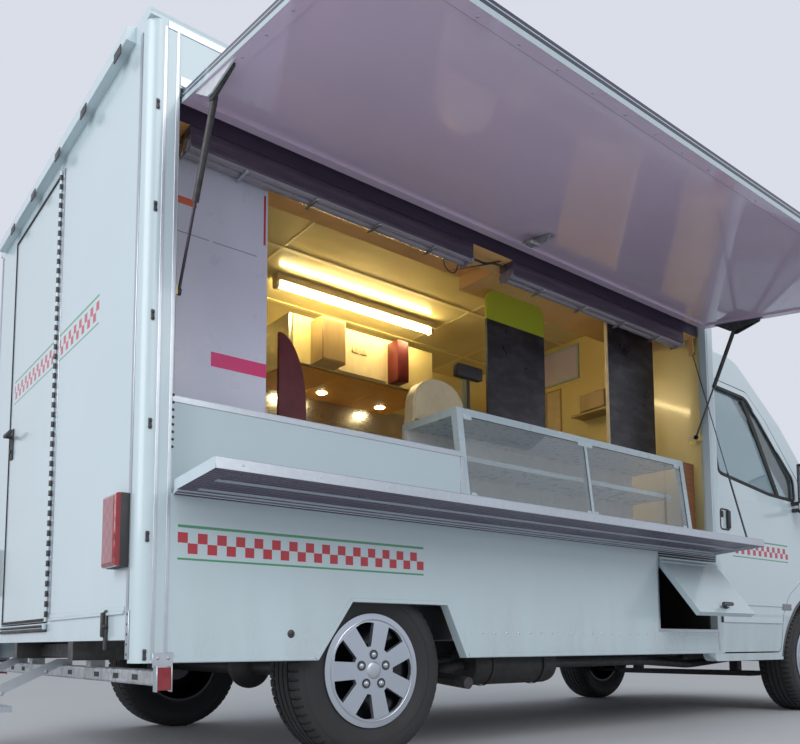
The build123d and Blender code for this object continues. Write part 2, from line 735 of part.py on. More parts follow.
def header_box():
    """The header inside over the opening: low over the lamps, with a drop over the display case."""
    header = block(OPEN_X0, OPEN_X1, HEADER_FRONT, HEADER_STEP, BATTEN_Z1, WALL_TOP)
    header += block(OPEN_X0, OPEN_X1, HEADER_STEP - 1, HEADER_IN, HEADER_Z, WALL_TOP)
    header += block(DROPPED_X0, OPEN_X1, HEADER_STEP - 1, HEADER_IN, DROPPED_Z, HEADER_Z + 1)
    lug_x = STAY_X - EYE_LENGTH / 2 - 3
    y, z = STAY_TOP
    return header + block(lug_x - LUG_SHEET, lug_x, y - 14, y + 14, z - 14, BATTEN_Z1 + 1)


def kitchen_units():
    """Units along the far wall: base cupboards, worktop, and the hood above them."""
    x0, x1 = KITCHEN_X0, KITCHEN_X1
    s = KITCHEN_SHEET
    top_low = WORKTOP_Z - WORKTOP_THICKNESS
    base = block(x0, x1, KITCHEN_Y, INNER_HALF, HOUSING_TOP + SEAT, top_low + 1)
    base -= block(x0 + s, x1 - s, KITCHEN_Y + s, INNER_HALF - s, HOUSING_TOP, top_low)
    t = PLINTH_SHEET
    plinth_y = KITCHEN_Y + 2 * s
    plinth_x = x0 + WORKTOP_THICKNESS
    plinth = block(plinth_x, x1, plinth_y, plinth_y + PLINTH_DEPTH, FLOOR_TOP, HOUSING_TOP + s + 1)
    plinth -= block(
        plinth_x + t, x1 - t, plinth_y + t, plinth_y + PLINTH_DEPTH - t, FLOOR_TOP - 1, HOUSING_TOP + s + 2
    )
    top = block(x0, x1, KITCHEN_Y - WORKTOP_NOSE, INNER_HALF, top_low, WORKTOP_Z)
    back = block(x0, x1, INNER_HALF - SPLASH_THICKNESS, INNER_HALF, WORKTOP_Z, HOOD_Z[0] + 20)
    hood = block(*HOOD_X, HOOD_Y, INNER_HALF, *HOOD_Z)
    return base + plinth + top + hood + back


# Chassis, rear beam, step and lamps


def chassis_frame():
    """Two rails, the cross members between them and the cab's mounts."""
    frame = None
    for side in (-1, 1):
        y0, y1 = sorted((side * RAIL_Y, side * (RAIL_Y + RAIL_WIDTH)))
        rail = block(0, RAIL_END_X, y0, y1, RAIL_TOP - RAIL_HEIGHT, RAIL_TOP)
        for x in CAB_MOUNTS_X:
            rail += block(x - 40, x + 40, y0, y1, RAIL_TOP - 1, CAB_FLOOR_Z - CAB_FLOOR_THICKNESS)
        frame = rail if frame is None else frame + rail
    for x in CROSS_MEMBERS_X:
        frame += block(
            x - 30, x + 30, -RAIL_Y - 1, RAIL_Y + 1, RAIL_TOP - RAIL_HEIGHT + 8, RAIL_TOP - 8
        )
    return frame


def spring_leaf(side):
    """A leaf spring, bowed down to the axle, with a hanger at each end."""
    low = AXLE_Z + AXLE_RADIUS
    high = RAIL_TOP - 60
    x0, x1 = REAR_AXLE_X - SPRING_HALF, REAR_AXLE_X + SPRING_HALF
    leaf = make_face(
        ThreePointArc((x0, high), (REAR_AXLE_X, low - 6), (x1, high))
        + Line((x1, high), (x1, high + SPRING_LEAF))
        + ThreePointArc((x1, high + SPRING_LEAF), (REAR_AXLE_X, low + 22), (x0, high + SPRING_LEAF))
        + Line((x0, high + SPRING_LEAF), (x0, high))
    )
    y0, y1 = sorted((side * (SPRING_Y - SPRING_WIDTH / 2), side * (SPRING_Y + SPRING_WIDTH / 2)))
    spring = along_y(leaf, y0, y1)
    for x in (x0 + 12, x1 - 12):
        spring += block(x - 14, x + 14, y0, y1, high + 2, RAIL_TOP)
    return spring


def rear_axle():
    """The rear axle: tube, differential housing, hub flanges and its leaf springs."""
    hub_y = REAR_TYRE_OUT - TYRE_WIDTH / 2
    tube_y = hub_y - 175.5
    axle = rod((REAR_AXLE_X, -hub_y, AXLE_Z), (REAR_AXLE_X, hub_y, AXLE_Z), HUB_RADIUS - SEAT)
    axle += rod((REAR_AXLE_X, -tube_y, AXLE_Z), (REAR_AXLE_X, tube_y, AXLE_Z), AXLE_RADIUS)
    axle += Pos(REAR_AXLE_X, 0, AXLE_Z) * scale(Sphere(DIFFERENTIAL_RADIUS), (1.0, 0.8, 1.0))
    for side in (-1, 1):
        axle += spring_leaf(side)
    return axle


def rear_beam():
    """The low beam under the rear wall, hung from the rails' ends."""
    beam = block(BEAM_X0, BEAM_X1, -HALF + BEAM_END, HALF - BEAM_END, BEAM_Z0, BEAM_TOP)
    beam = fillet(beam.edges().filter_by(Axis.Y), 8)
    for side in (-1, 1):
        y0, y1 = sorted((side * (RAIL_Y + 4), side * (RAIL_Y + RAIL_WIDTH - 4)))
        beam += block(BEAM_X0 + 4, BEAM_X1 - 4, y0, y1, BEAM_TOP - 1, RAIL_TOP - RAIL_HEIGHT)
    return beam


def rear_step():
    """The entry step: two sloping arms that lie on the beam, and a tread between them."""
    back = BEAM_X0 + 36
    rest = BEAM_TOP + SEAT
    arm = outline([
        (back, rest), (BEAM_X0 - SEAT, rest), (50 - STEP_OUT, STEP_Z), (-STEP_OUT, STEP_Z),
        (-STEP_OUT, STEP_Z + 24), (BEAM_X0 - 22, rest + 26), (back, rest + 26),
    ])
    step = block(
        -STEP_OUT, STEP_TREAD - STEP_OUT, STEP_Y[0], STEP_Y[1], STEP_Z, STEP_Z + HINGE_LEAF
    )
    for y in STEP_Y:
        step += along_y(arm, y - STEP_SHEET / 2, y + STEP_SHEET / 2)
    return step


def tail_lamps():
    """Two tail lamps on the rear wall and two marker lamps on the beam's ends."""
    lamps = []
    for side in (-1, 1):
        middle = side * TAIL_LAMP_Y
        lamp = block(
            -TAIL_LAMP_OUT, 0, middle - TAIL_LAMP_WIDTH / 2, middle + TAIL_LAMP_WIDTH / 2, *TAIL_LAMP_Z
        )
        lamps.append(fillet(lamp.faces().sort_by(Axis.X)[0].edges(), 14))
    for side in (-1, 1):
        y0, y1 = sorted((side * (HALF - BEAM_END), side * (HALF - BEAM_END + MARKER_OUT)))
        lamps.append(block(*MARKER_X, y0, y1, *MARKER_Z))
    return lamps


# Front axle and steering


def front_axle():
    """The front subframe: a cross plate with lower arms, posts up to the rails and upper mounts."""
    x = FRONT_AXLE_X
    root = RAIL_Y + 180
    axle = block(x - ARM_HALF, x + ARM_HALF, -root, root, LOWER_ARM_Z - 35, LOWER_ARM_Z)
    for side in (-1, 1):
        tip = side * (KINGPIN_Y + 26)
        arm = outline([
            (x - ARM_HALF, side * (root - 20)), (x + ARM_HALF, side * (root - 20)),
            (x + 26, tip), (x - 26, tip),
        ])
        axle += along_z(arm, LOWER_ARM_Z - ARM_THICKNESS, LOWER_ARM_Z)
        y0, y1 = sorted((side * RAIL_Y, side * (RAIL_Y + RAIL_WIDTH)))
        axle += block(x - 30, x + 30, y0, y1, LOWER_ARM_Z + SEAT, RAIL_TOP - RAIL_HEIGHT)
        y2, y3 = sorted((side * (RAIL_Y + RAIL_WIDTH), side * (KINGPIN_Y + 20)))
        axle += block(x - 20, x + 20, y2, y3, UPPER_ARM_Z, UPPER_ARM_Z + ARM_THICKNESS)
    return axle


def knuckle(side):
    """A steered knuckle: the kingpin post between the arms and the wheel's stub axle."""
    x, y = FRONT_AXLE_X, side * KINGPIN_Y
    post = rod((x, y, LOWER_ARM_Z + SEAT), (x, y, UPPER_ARM_Z - SEAT), KINGPIN_RADIUS)
    stub = rod((x, y, AXLE_Z), (x, side * (HUB_Y + 20), AXLE_Z), HUB_RADIUS - SEAT)
    return post + stub


# Wheels: built about the Y axis, outer face towards +Y, then placed


def tyre():
    """A tyre's ring with sloping shoulders."""
    w = TYRE_WIDTH / 2
    bulge = TYRE_RADIUS - TYRE_BULGE
    return spin([
        (BEAD_RADIUS, -w + 22), (bulge, -w), (TYRE_RADIUS, -w + TYRE_SHOULDER),
        (TYRE_RADIUS, w - TYRE_SHOULDER), (bulge, w), (BEAD_RADIUS, w - 22),
    ])


def wheel():
    """A steel wheel with its cover: seven broad spokes between seven windows, nuts and a cap."""
    w = TYRE_WIDTH / 2
    rim = BEAD_RADIUS - SEAT
    rim_in = BEAD_RADIUS - 12
    barrel = spin([(rim, -w + 20), (rim, w - 20), (rim_in, w - 20), (rim_in, -w + 20)])
    bowl = HUB_RADIUS + 56
    disc = spin([
        (HUB_RADIUS, -20), (HUB_RADIUS, 22), (bowl, 22), (rim_in + 1, 52),
        (rim_in + 1, 30), (bowl, 0), (bowl, -20),
    ])
    face_y = w - 4
    cover = spin([
        (0, face_y - 22), (0, face_y - 2), (44, face_y - 2), (COVER_RADIUS - 36, face_y - 5),
        (COVER_RADIUS, face_y - 9), (COVER_RADIUS, face_y - 14), (BEAD_RADIUS - 2, face_y - 14),
        (BEAD_RADIUS - 6, face_y - 22),
    ])
    window = outline([(92, -9), (176, -44), (184, -20), (186, 0), (184, 20), (176, 44), (92, 9)])
    cutter = Pos(0, face_y - 40, 0) * extrude(Plane.XZ * window, amount=-60)
    step = 360 / COVER_SPOKES
    for i in range(COVER_SPOKES):
        cover -= Rot(0, (i + 0.5) * step, 0) * cutter
    cover += rod((0, 21, 0), (0, face_y - 20, 0), NUT_CIRCLE)
    for i in range(COVER_NUTS):
        a = math.radians(90 + i * 360 / COVER_NUTS)
        x, z = NUT_CIRCLE * math.cos(a), NUT_CIRCLE * math.sin(a)
        cover += Pos(x, face_y - 6, z) * Sphere(NUT_RADIUS)
    return barrel + disc + cover


def place_wheel(shape, x, side, outer):
    """Put a wheel at its axle, its cover outwards."""
    turned = shape if side > 0 else Rot(0, 0, 180) * shape
    return Pos(x, side * (outer - TYRE_WIDTH / 2), AXLE_Z) * turned


# Cab


def cab_side(inset):
    """The cab's side outline, from the sill round over roof, screen, bonnet and nose."""
    i = inset
    x0 = CAB_X0 + i
    nose = CAB_X1 - 20 - i
    roof_z = CAB_ROOF_Z - i
    return outline([
        (x0, CAB_SILL + i), (x0, roof_z), (SCREEN_TOP[0] - 120 - i * 0.4, roof_z),
        (SCREEN_TOP[0] + 10 - i * 0.9, SCREEN_TOP[1] - 10 - i * 0.9),
        (SCREEN_BASE[0] - i, SCREEN_BASE[1] - i * 0.6), (BONNET_FRONT[0] - i * 0.8, BONNET_FRONT[1] - i),
        (NOSE_TOP[0] - i, NOSE_TOP[1] - i), (nose, BUMPER_TOP), (nose, CAB_SILL + i),
    ], radius=60)


def cab_front(inset):
    """The cab's front outline: upright below the belt, leaning in above it."""
    half = [  # in from the widest, z
        (30, CAB_SILL - 60 + inset), (0, CAB_SILL + 280), (0, BELT_Z), (75, BELT_Z + 580),
        (190, CAB_ROOF_Z + 1 - inset),
    ]
    left = [(CAB_HALF - back - inset, z) for back, z in half]
    right = [(-y, z) for y, z in reversed(left)]
    return outline(left + right, radius=70)


def cab_plan(inset):
    """The cab's outline from above: straight sides, drawn in towards the nose."""
    i = inset
    half = [  # x, y
        (CAB_X1 - i, NOSE_FLAT), (CAB_X1 - 160 - i * 0.6, CAB_HALF - 110 - i),
        (CAB_X1 - 500, CAB_HALF + 5 - i), (CAB_X0 + i, CAB_HALF + 5 - i),
    ]
    right = [(x, -y) for x, y in reversed(half)]
    return outline(half + right, radius=90)


def cab_form(inset):
    """The cab's closed form: where its side, front and plan outlines meet."""
    side = along_y(cab_side(inset), -CAB_HALF - 20, CAB_HALF + 20)
    front = along_x(cab_front(inset), CAB_X0 - 20, CAB_X1 + 20)
    plan = along_z(cab_plan(inset), CAB_SILL - 80, CAB_ROOF_Z + 20)
    return side & front & plan


def door_outline(grow):
    """A cab door's outline: cut round the wheel arch below, its front edge following the pillar above."""
    g = grow
    return outline([
        (DOOR_X0 - g, DOOR_BOTTOM - g), (DOOR_STEP_X + g, DOOR_BOTTOM - g), (DOOR_STEP_X + 10 + g, 620),
        (DOOR_STEP_X + 100 + g, 750), (DOOR_X1 + g, 900), (DOOR_X1 + g, WINDOW_SILL + 100 + g * 0.5),
        (SCREEN_TOP[0] + 5, DOOR_TOP - 30 + g), (DOOR_X0 - g, DOOR_TOP + g),
    ], radius=40)


def side_window():
    """The opening for a door's glass."""
    return outline([
        (DOOR_X0 + 62, WINDOW_SILL + 60), (DOOR_X0 + 62, DOOR_TOP - 60),
        (SCREEN_TOP[0] - 40, DOOR_TOP - 80), (DOOR_X1 - 90, WINDOW_SILL + 130),
        (DOOR_X1 - 120, WINDOW_SILL - 20), (DOOR_X1 - 460, WINDOW_SILL - 10),
    ], radius=30)


def screen_cut():
    """The opening for the windscreen, seen from the front."""
    low, high = SCREEN_BASE[1] + 20, SCREEN_TOP[1] - 80
    half_low, half_high = CAB_HALF - 195, CAB_HALF - 285
    return outline([(-half_low, low), (half_low, low), (half_high, high), (-half_high, high)], radius=60)


def bonnet_zone(grow):
    """The space that the bonnet takes out of the cab, cut off in front along the bonnet's own swing."""
    g = grow
    rear = BONNET_X0 - (SEAT if g else 0)
    front_x = BONNET_FRONT[0] + 60
    low, high = BONNET_FRONT[1] - 210, SCREEN_BASE[1] + 100
    plan = along_z(outline([
        (rear, -BONNET_HALF - g), (front_x, -BONNET_HALF + 60 - g),
        (front_x, BONNET_HALF - 60 + g), (rear, BONNET_HALF + g),
    ]), low, high)
    lip_x, lip_z = BONNET_FRONT[0] + 10 + g, BONNET_FRONT[1] - 13
    front = along_y(outline([
        (rear, high), (rear, BONNET_FRONT[1] + 130), (lip_x - 70, lip_z - 92), (lip_x, lip_z),
        (lip_x + 60, lip_z + 79), (lip_x + 60, high),
    ]), -CAB_HALF + 85, CAB_HALF - 85)
    return plan & front


def across(x0, x1, y_in, y_out, z0, z1):
    """Two like blocks, one on each side, between two distances from the centre plane."""
    return block(x0, x1, y_in, y_out, z0, z1) + block(x0, x1, -y_out, -y_in, z0, z1)


def cab_floor():
    """The floor between the sills, the step up over the wheels and the firewall behind the engine."""
    reach = CAB_HALF - 20
    low = CAB_FLOOR_Z - CAB_FLOOR_THICKNESS
    heel_x = FRONT_AXLE_X - 297
    toe_top = CAB_FLOOR_Z + 70
    plate = block(CAB_X0 + 10, heel_x, -reach, reach, low, CAB_FLOOR_Z)
    riser = block(heel_x - 20, heel_x, -reach, reach, CAB_FLOOR_Z - 1, toe_top + 1)
    toe = block(heel_x - 10, FIREWALL_X + 30, -reach, reach, toe_top - 30, toe_top)
    firewall = block(FIREWALL_X, FIREWALL_X + 30, -reach, reach, low, FIREWALL_TOP)
    return (plate + riser + toe + firewall) & cab_form(CAB_WALL + SEAT)


def cab_pieces():
    """The hollow cab split where its panels meet: shell, floor, doors, glass, bonnet and lamps."""
    outer = cab_form(0)
    skin = outer - cab_form(CAB_WALL)
    pane_layer = cab_form(PANE_DEPTH) - cab_form(PANE_DEPTH + PANE)
    side_reach = CAB_HALF + 40
    sill_top = CAB_SILL + CAB_WALL + 1
    sill_in = CAB_HALF - SILL_WIDTH
    below = block(CAB_X0 - 50, CAB_X1 + 50, -side_reach, side_reach, 0, sill_top)
    between_sills = block(CAB_X0 - 60, CAB_X1 + 60, -sill_in, sill_in, 0, sill_top + 1)
    shell = skin - below + ((below & outer) - between_sills - cab_form(CAB_WALL))
    shell -= block(
        CAB_X0 - 10, CAB_X0 + CAB_WALL + 80, -sill_in, sill_in, 0, CAB_FLOOR_Z - CAB_FLOOR_THICKNESS
    )
    cuts = []
    doors = {}
    for name, side in (("left", 1), ("right", -1)):
        y0, y1 = sorted((side * 530, side * side_reach))
        cuts.append(rod((FRONT_AXLE_X, y0, AXLE_Z), (FRONT_AXLE_X, y1, AXLE_Z), ARCH_RADIUS))
        cuts.append(along_y(door_outline(PANEL_GAP), y0, y1))
        y0, y1 = sorted((side * 600, side * side_reach))
        window = along_y(side_window(), y0, y1)
        leaf = (skin & along_y(door_outline(0), y0, y1)) - window
        y2, y3 = sorted((side * (CAB_HALF - 20), side * (CAB_HALF - 4)))
        for z in DOOR_HINGES_Z:
            leaf += block(DOOR_X1 - 10, DOOR_X1 + PANEL_GAP - SEAT, y2, y3, z, z + DOOR_HINGE_HEIGHT)
        doors[name] = (leaf, pane_layer & window)
    screen = along_x(screen_cut(), SCREEN_TOP[0] - 80, SCREEN_BASE[0] + 150)
    lamp_zone = across(LAMP_X0, CAB_X1 + 60, LAMP_IN, side_reach, *LAMP_Z)
    cuts.append(screen)
    cuts.append(bonnet_zone(PANEL_GAP))
    cuts.append(block(BUMPER_X0, CAB_X1 + 60, -side_reach, side_reach, 0, BUMPER_TOP))
    cuts.append(block(CAB_X1 - 260, CAB_X1 + 60, -GRILLE_HALF, GRILLE_HALF, *GRILLE_Z))
    cuts.append(lamp_zone)
    base = cab_floor()
    for cut in cuts:
        shell -= cut
        base -= cut
    return shell, base, doors, pane_layer & screen, skin & bonnet_zone(0), (skin & lamp_zone).solids()


def bumper():
    """The front bumper: the nose's low form carried round the corners."""
    reach = CAB_HALF + 40
    zone = block(BUMPER_X0 + 4, CAB_X1 + 60, -reach, reach, CAB_SILL - 60, BUMPER_TOP - 4)
    side = along_y(outline([
        (CAB_X0, BUMPER_LOW), (CAB_X0, BUMPER_TOP + 60), (CAB_X1, BUMPER_TOP + 60),
        (CAB_X1, BUMPER_LOW + 120), (CAB_X1 - 40, BUMPER_LOW),
    ], radius=30), -CAB_HALF, CAB_HALF)
    low, high = BUMPER_LOW - 100, BUMPER_TOP + 100
    return (side & along_z(cab_plan(0), low, high) & zone) - along_z(cab_plan(BUMPER_WALL), low, high)


def grille():
    """The grille: a frame with level slats."""
    z0, z1 = GRILLE_Z
    x1 = NOSE_TOP[0]
    f = GRILLE_FRAME
    inner = GRILLE_HALF - f - 2
    frame = block(x1 - 50, x1, -GRILLE_HALF, GRILLE_HALF, z0, z1)
    frame -= block(x1 - 60, x1 + 10, -inner, inner, z0 + f, z1 - f)
    pitch = (z1 - z0 - 2 * f + 2) / GRILLE_SLATS
    for i in range(GRILLE_SLATS):
        z = z0 + f + (i + 0.4) * pitch
        frame += block(x1 - 42, x1 - 8, -inner - 1, inner + 1, z, z + 10)
    return frame


def mirror_housing(side):
    """A door mirror: its housing on two arms that reach the door's skin."""
    y0, y1 = sorted((side * MIRROR_Y[0], side * MIRROR_Y[1]))
    head = block(*MIRROR_X, y0, y1, *MIRROR_Z)
    head = fillet(head.edges().filter_by(Axis.Z), 24)
    y2, y3 = sorted((side * (CAB_HALF - 30), side * (MIRROR_Y[0] + 15)))
    for z in (MIRROR_Z[0] + 10, MIRROR_Z[0] + 55):
        head += block(MIRROR_X[0] + 20, MIRROR_X[1] - 25, y2, y3, z, z + 22)
    return head - cab_form(0)


def dashboard():
    """The dashboard across the cab, with the binnacle in front of the driver."""
    z0, z1 = DASH_Z
    front = FIREWALL_X
    face = outline([
        (DASH_X0, z0), (DASH_X0, z1 - 70), (DASH_X0 + 80, z1),
        (front - 60, z1), (front, z1 - 30), (front, z0),
    ], radius=20)
    hood = outline([
        (DASH_X0 + 30, z1 - 30), (DASH_X0 + 30, z1 + 70), (DASH_X0 + 140, z1 + 70), (DASH_X0 + 180, z1 - 10),
    ], radius=12)
    return along_y(face, -DASH_HALF, DASH_HALF) + along_y(hood, WHEEL_Y - 180, WHEEL_Y + 180)


def steering_wheel():
    """The steering wheel: rim, three spokes and hub on the column's axis."""
    form = Torus(WHEEL_RIM_RADIUS, WHEEL_RIM) + Cylinder(52, 34)
    spoke = Pos(WHEEL_RIM_RADIUS - 70, 0, 0) * Box(150, 36, 14)
    for a in (90, 210, 330):
        form += Rot(0, 0, a) * spoke
    form += rod((0, 0, -10), (0, 0, -COLUMN_LENGTH), COLUMN_RADIUS)
    return Pos(*WHEEL_CENTRE) * Rot(0, -STEERING_TILT, 0) * form


def seats():
    """Closed solids for the driver's seat and the double seat beside it."""
    pads = []
    pad_top = SEAT_BOX_TOP + SEAT_PAD
    for y0, y1 in SEATS_Y:
        for x, z0, z1 in ((SEAT_X, SEAT_BOX_TOP, pad_top), (SEAT_BACK_X, pad_top + SEAT, SEAT_BACK_TOP)):
            pad = block(*x, y0, y1, z0, z1)
            pads.append(fillet(pad.edges(), 30))
    return pads


def seat_boxes():
    """The steel boxes that carry the seats, standing on the cab's floor."""
    boxes = []
    for y0, y1 in SEATS_Y:
        boxes.append(block(
            SEAT_X[0] + 20, SEAT_X[1] - 30, y0 + 20, y1 - 20, CAB_FLOOR_Z + SEAT, SEAT_BOX_TOP - SEAT
        ))
    return boxes[0] + boxes[1]


def engine():
    """The engine as one plain block on the rails."""
    reach = RAIL_Y + 15
    return block(*ENGINE_X, -reach, reach, RAIL_TOP, ENGINE_TOP)


# Everything is written with its origin under the middle of its box.

X_MIN = -STEP_OUT
MIRROR_OUT = MIRROR_Y[1]
HATCH_EDGE = at_rest(-HALF, SPLIT_Z)
Y_MIN = min(HATCH_EDGE[0], at_rest(-HALF + HATCH_THICKNESS, SPLIT_Z)[0])
ORIGIN = ((X_MIN + CAB_X1) / 2, (Y_MIN + MIRROR_OUT) / 2, 0)


def write(name, shape):
    """Write one node, moved to the origin under the middle of the vehicle's box."""
    pieces = shape if isinstance(shape, (list, tuple)) else [shape]
    solids = [solid for piece in pieces for solid in piece.solids()]
    moved = [solid.moved(Location((-ORIGIN[0], -ORIGIN[1], 0))) for solid in solids]
    result = moved[0] if len(moved) == 1 else Compound(children=moved)
    export_step(result, f"parts/{name}.step")


def write_box():
    """The box body, its doors, hatch, shelf and locker."""
    write("body_floor", floor())
    write("body_roof", roof())
    write("body_wall_right", right_wall())
    write("body_wall_left", side_wall(1))
    write("body_wall_rear", rear_wall())
    write("body_wall_front", end_wall(BODY_LENGTH - WALL, BODY_LENGTH))
    write("corner_posts", corner_posts())
    write("rear_door", rear_door())
    write("hatch_panel", hatch_panel())
    write("hatch_brackets", hatch_brackets())
    write("counter_shelf", counter_shelf())
    write("locker_box", locker_box())
    write("locker_flap", locker_flap())
    top = at_rest(*hatch_point(PIN_OUT, PIN_IN))
    foot = (STRUT_LOW_Y, STRUT_LOW_Z)
    for name, x, stud_side in (("rear", REAR_STRUT_X, -1), ("front", FRONT_STRUT_X, 1)):
        cylinder, stem = strut(x, top, foot, STRUT_CYLINDER, STRUT_RADIUS, ROD_RADIUS, stud_side)
        write(f"hatch_strut_{name}_cylinder", cylinder)
        write(f"hatch_strut_{name}_rod", stem)
    low = shelf_point(STAY_LOW_OUT, STAY_LOW_UP)
    cylinder, stem = strut(STAY_X, low, STAY_TOP, STAY_CYLINDER, STAY_RADIUS, STAY_ROD, -1)
    write("shelf_stay_cylinder", cylinder)
    write("shelf_stay_rod", stem)


def write_fittings():
    """What is fixed in and on the box."""
    write("rear_beam", rear_beam())
    write("rear_step", rear_step())
    write("tail_lamps", tail_lamps())
    write("counter_fascia", counter())
    write("case_end_board", case_end_board())
    write("display_case_frame", display_case_frame())
    write("display_case_glass", display_case_glass())
    write("sign_boards", sign_boards())
    write("lamp_battens", lamp_battens())
    write("header_box", header_box())
    write("kitchen_units", kitchen_units())


def write_chassis():
    """The frame, the engine, the axles and the wheels."""
    write("chassis_frame", chassis_frame())
    write("engine_block", engine())
    write("rear_axle", rear_axle())
    write("front_axle", front_axle())
    tyre_shape, wheel_shape = tyre(), wheel()
    for name, side in (("left", 1), ("right", -1)):
        write(f"knuckle_{name}", knuckle(side))
        for end, x, out in (("rear", REAR_AXLE_X, REAR_TYRE_OUT), ("front", FRONT_AXLE_X, FRONT_TYRE_OUT)):
            write(f"tyre_{end}_{name}", place_wheel(tyre_shape, x, side, out))
            write(f"wheel_{end}_{name}", place_wheel(wheel_shape, x, side, out))


def write_cab():
    """The cab with its doors, glass, lamps and inside."""
    shell, base, doors, screen, bonnet, lamps = cab_pieces()
    write("cab_shell", shell)
    write("cab_floor", [base, seat_boxes()])
    write("windscreen", screen)
    write("bonnet", bonnet)
    write("headlamps", lamps)
    write("front_bumper", bumper())
    write("grille", grille())
    write("dashboard", dashboard())
    write("steering_wheel", steering_wheel())
    write("seat_pads", seats())
    for name, side in (("left", 1), ("right", -1)):
        leaf, glass = doors[name]
        write(f"cab_door_{name}", leaf)
        write(f"door_glass_{name}", glass)
        write(f"mirror_{name}", mirror_housing(side))


write_box()
write_fittings()
write_chassis()
write_cab()
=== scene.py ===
"""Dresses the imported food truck: finishes for its nodes, its trim and fittings, and the stage."""
import json
import math

import bmesh
import bpy
import numpy as np
from bpy.props import FloatProperty, FloatVectorProperty, IntProperty, PointerProperty
from bpy.types import Operator, Panel, PropertyGroup
from mathutils import Matrix, Vector


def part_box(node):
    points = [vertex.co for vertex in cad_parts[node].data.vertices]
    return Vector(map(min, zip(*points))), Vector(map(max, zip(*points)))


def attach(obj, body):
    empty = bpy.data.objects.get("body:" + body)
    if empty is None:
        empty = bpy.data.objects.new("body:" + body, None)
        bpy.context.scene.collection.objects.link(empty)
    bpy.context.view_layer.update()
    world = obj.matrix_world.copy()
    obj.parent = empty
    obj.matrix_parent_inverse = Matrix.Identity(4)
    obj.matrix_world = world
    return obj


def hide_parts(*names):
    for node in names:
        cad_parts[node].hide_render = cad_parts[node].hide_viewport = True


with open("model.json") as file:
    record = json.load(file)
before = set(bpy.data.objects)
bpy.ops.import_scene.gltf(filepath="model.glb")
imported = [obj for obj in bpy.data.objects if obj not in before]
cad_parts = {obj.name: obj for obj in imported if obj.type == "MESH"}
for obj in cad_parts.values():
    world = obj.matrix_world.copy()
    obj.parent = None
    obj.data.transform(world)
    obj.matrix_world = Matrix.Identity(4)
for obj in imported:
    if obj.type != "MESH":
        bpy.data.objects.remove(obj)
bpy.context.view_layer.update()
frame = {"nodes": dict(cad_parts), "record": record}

bl_info = {
    "name": "Food truck dressing",
    "version": (1, 0, 0),
    "blender": (4, 5, 0),
    "location": "View3D > Sidebar > Food truck",
    "description": "Finishes, trim and fittings for the packed food truck",
    "category": "Object",
}

_low, _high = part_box("body_wall_rear")
REAR_X = _low[0]
MID_Y = (_low[1] + _high[1]) / 2

JOINTS = {j["name"]: j for j in frame["record"]["behaviour"]["joints"]}


# Shapes. Each returns (points, four-cornered faces, caps) in vehicle places:
# metres forward from the rear wall, to the left of the centre plane, and up from the ground.

def grid_faces(rows, columns, wrap_rows=False, wrap_columns=False):
    """Faces of a grid: corner (i, j) joins (i, j + 1), (i + 1, j + 1) and (i + 1, j)."""
    i = np.arange(rows if wrap_rows else rows - 1)[:, None]
    j = np.arange(columns if wrap_columns else columns - 1)[None, :]
    i2, j2 = (i + 1) % rows, (j + 1) % columns
    corners = (i * columns + j, i * columns + j2, i2 * columns + j2, i2 * columns + j)
    return np.stack(np.broadcast_arrays(*corners), -1).reshape(-1, 4)


def unit(vectors):
    """Each vector divided by its length."""
    vectors = np.asarray(vectors, float)
    return vectors / np.maximum(np.linalg.norm(vectors, axis=-1, keepdims=True), 1e-12)


def rounded_block(low, high, radius=0.004, steps=2):
    """P(t, p) = corner of the octant + r (cos t cos p, cos t sin p, sin t)."""
    low, high = np.minimum(low, high), np.maximum(low, high)
    half, middle = (high - low) / 2, (high + low) / 2
    r = min(radius, half.min() * 0.98)
    quarter = np.linspace(0, math.pi / 2, steps + 1)
    p = np.concatenate([quarter + k * math.pi / 2 for k in range(4)])
    t = np.concatenate([quarter - math.pi / 2, quarter])
    sx = np.repeat([1, -1, -1, 1], steps + 1)
    sy = np.repeat([1, 1, -1, -1], steps + 1)
    sz = np.repeat([-1, 1], steps + 1)[:, None]
    ct, st = np.cos(t)[:, None], np.sin(t)[:, None]
    x = sx * (half[0] - r) + r * ct * np.cos(p)
    y = sy * (half[1] - r) + r * ct * np.sin(p)
    z = sz * (half[2] - r) + r * st + 0 * p
    points = np.stack([x, y, z], -1).reshape(-1, 3) + middle
    columns, rows = len(p), len(t)
    faces = grid_faces(rows, columns, wrap_columns=True)
    caps = [list(range(columns))[::-1], list(range((rows - 1) * columns, rows * columns))]
    return points, faces, caps


def bar(x0, x1, y0, y1, z0, z1, radius=0.0015, steps=1):
    """A straight bar between two corners, its edges eased."""
    return rounded_block((x0, y0, z0), (x1, y1, z1), radius, steps)


def sweep(path, profile, up=(0, 0, 1), closed=False):
    """P(i, j) = C_i + a_j S_i + b_j U_i, slid along the run into the mitre plane at each corner."""
    path, profile = np.asarray(path, float), np.asarray(profile, float)
    runs = unit(np.roll(path, -1, 0) - path)
    before = np.roll(runs, 1, 0)
    if not closed:
        runs[-1], before[0] = before[-1], runs[0]
    mitre = unit(runs + before)
    side = unit(np.cross(runs, up))
    top = np.cross(side, runs)
    offset = profile[None, :, :1] * side[:, None] + profile[None, :, 1:2] * top[:, None]
    along = np.einsum("ijk,ik->ij", offset, mitre) / np.einsum("ik,ik->i", runs, mitre)[:, None]
    points = path[:, None] + offset - along[..., None] * runs[:, None]
    rows, columns = len(path), len(profile)
    faces = grid_faces(rows, columns, wrap_rows=closed, wrap_columns=True)
    caps = [] if closed else [list(range(columns))[::-1], list(range((rows - 1) * columns, rows * columns))]
    return points.reshape(-1, 3), faces, caps


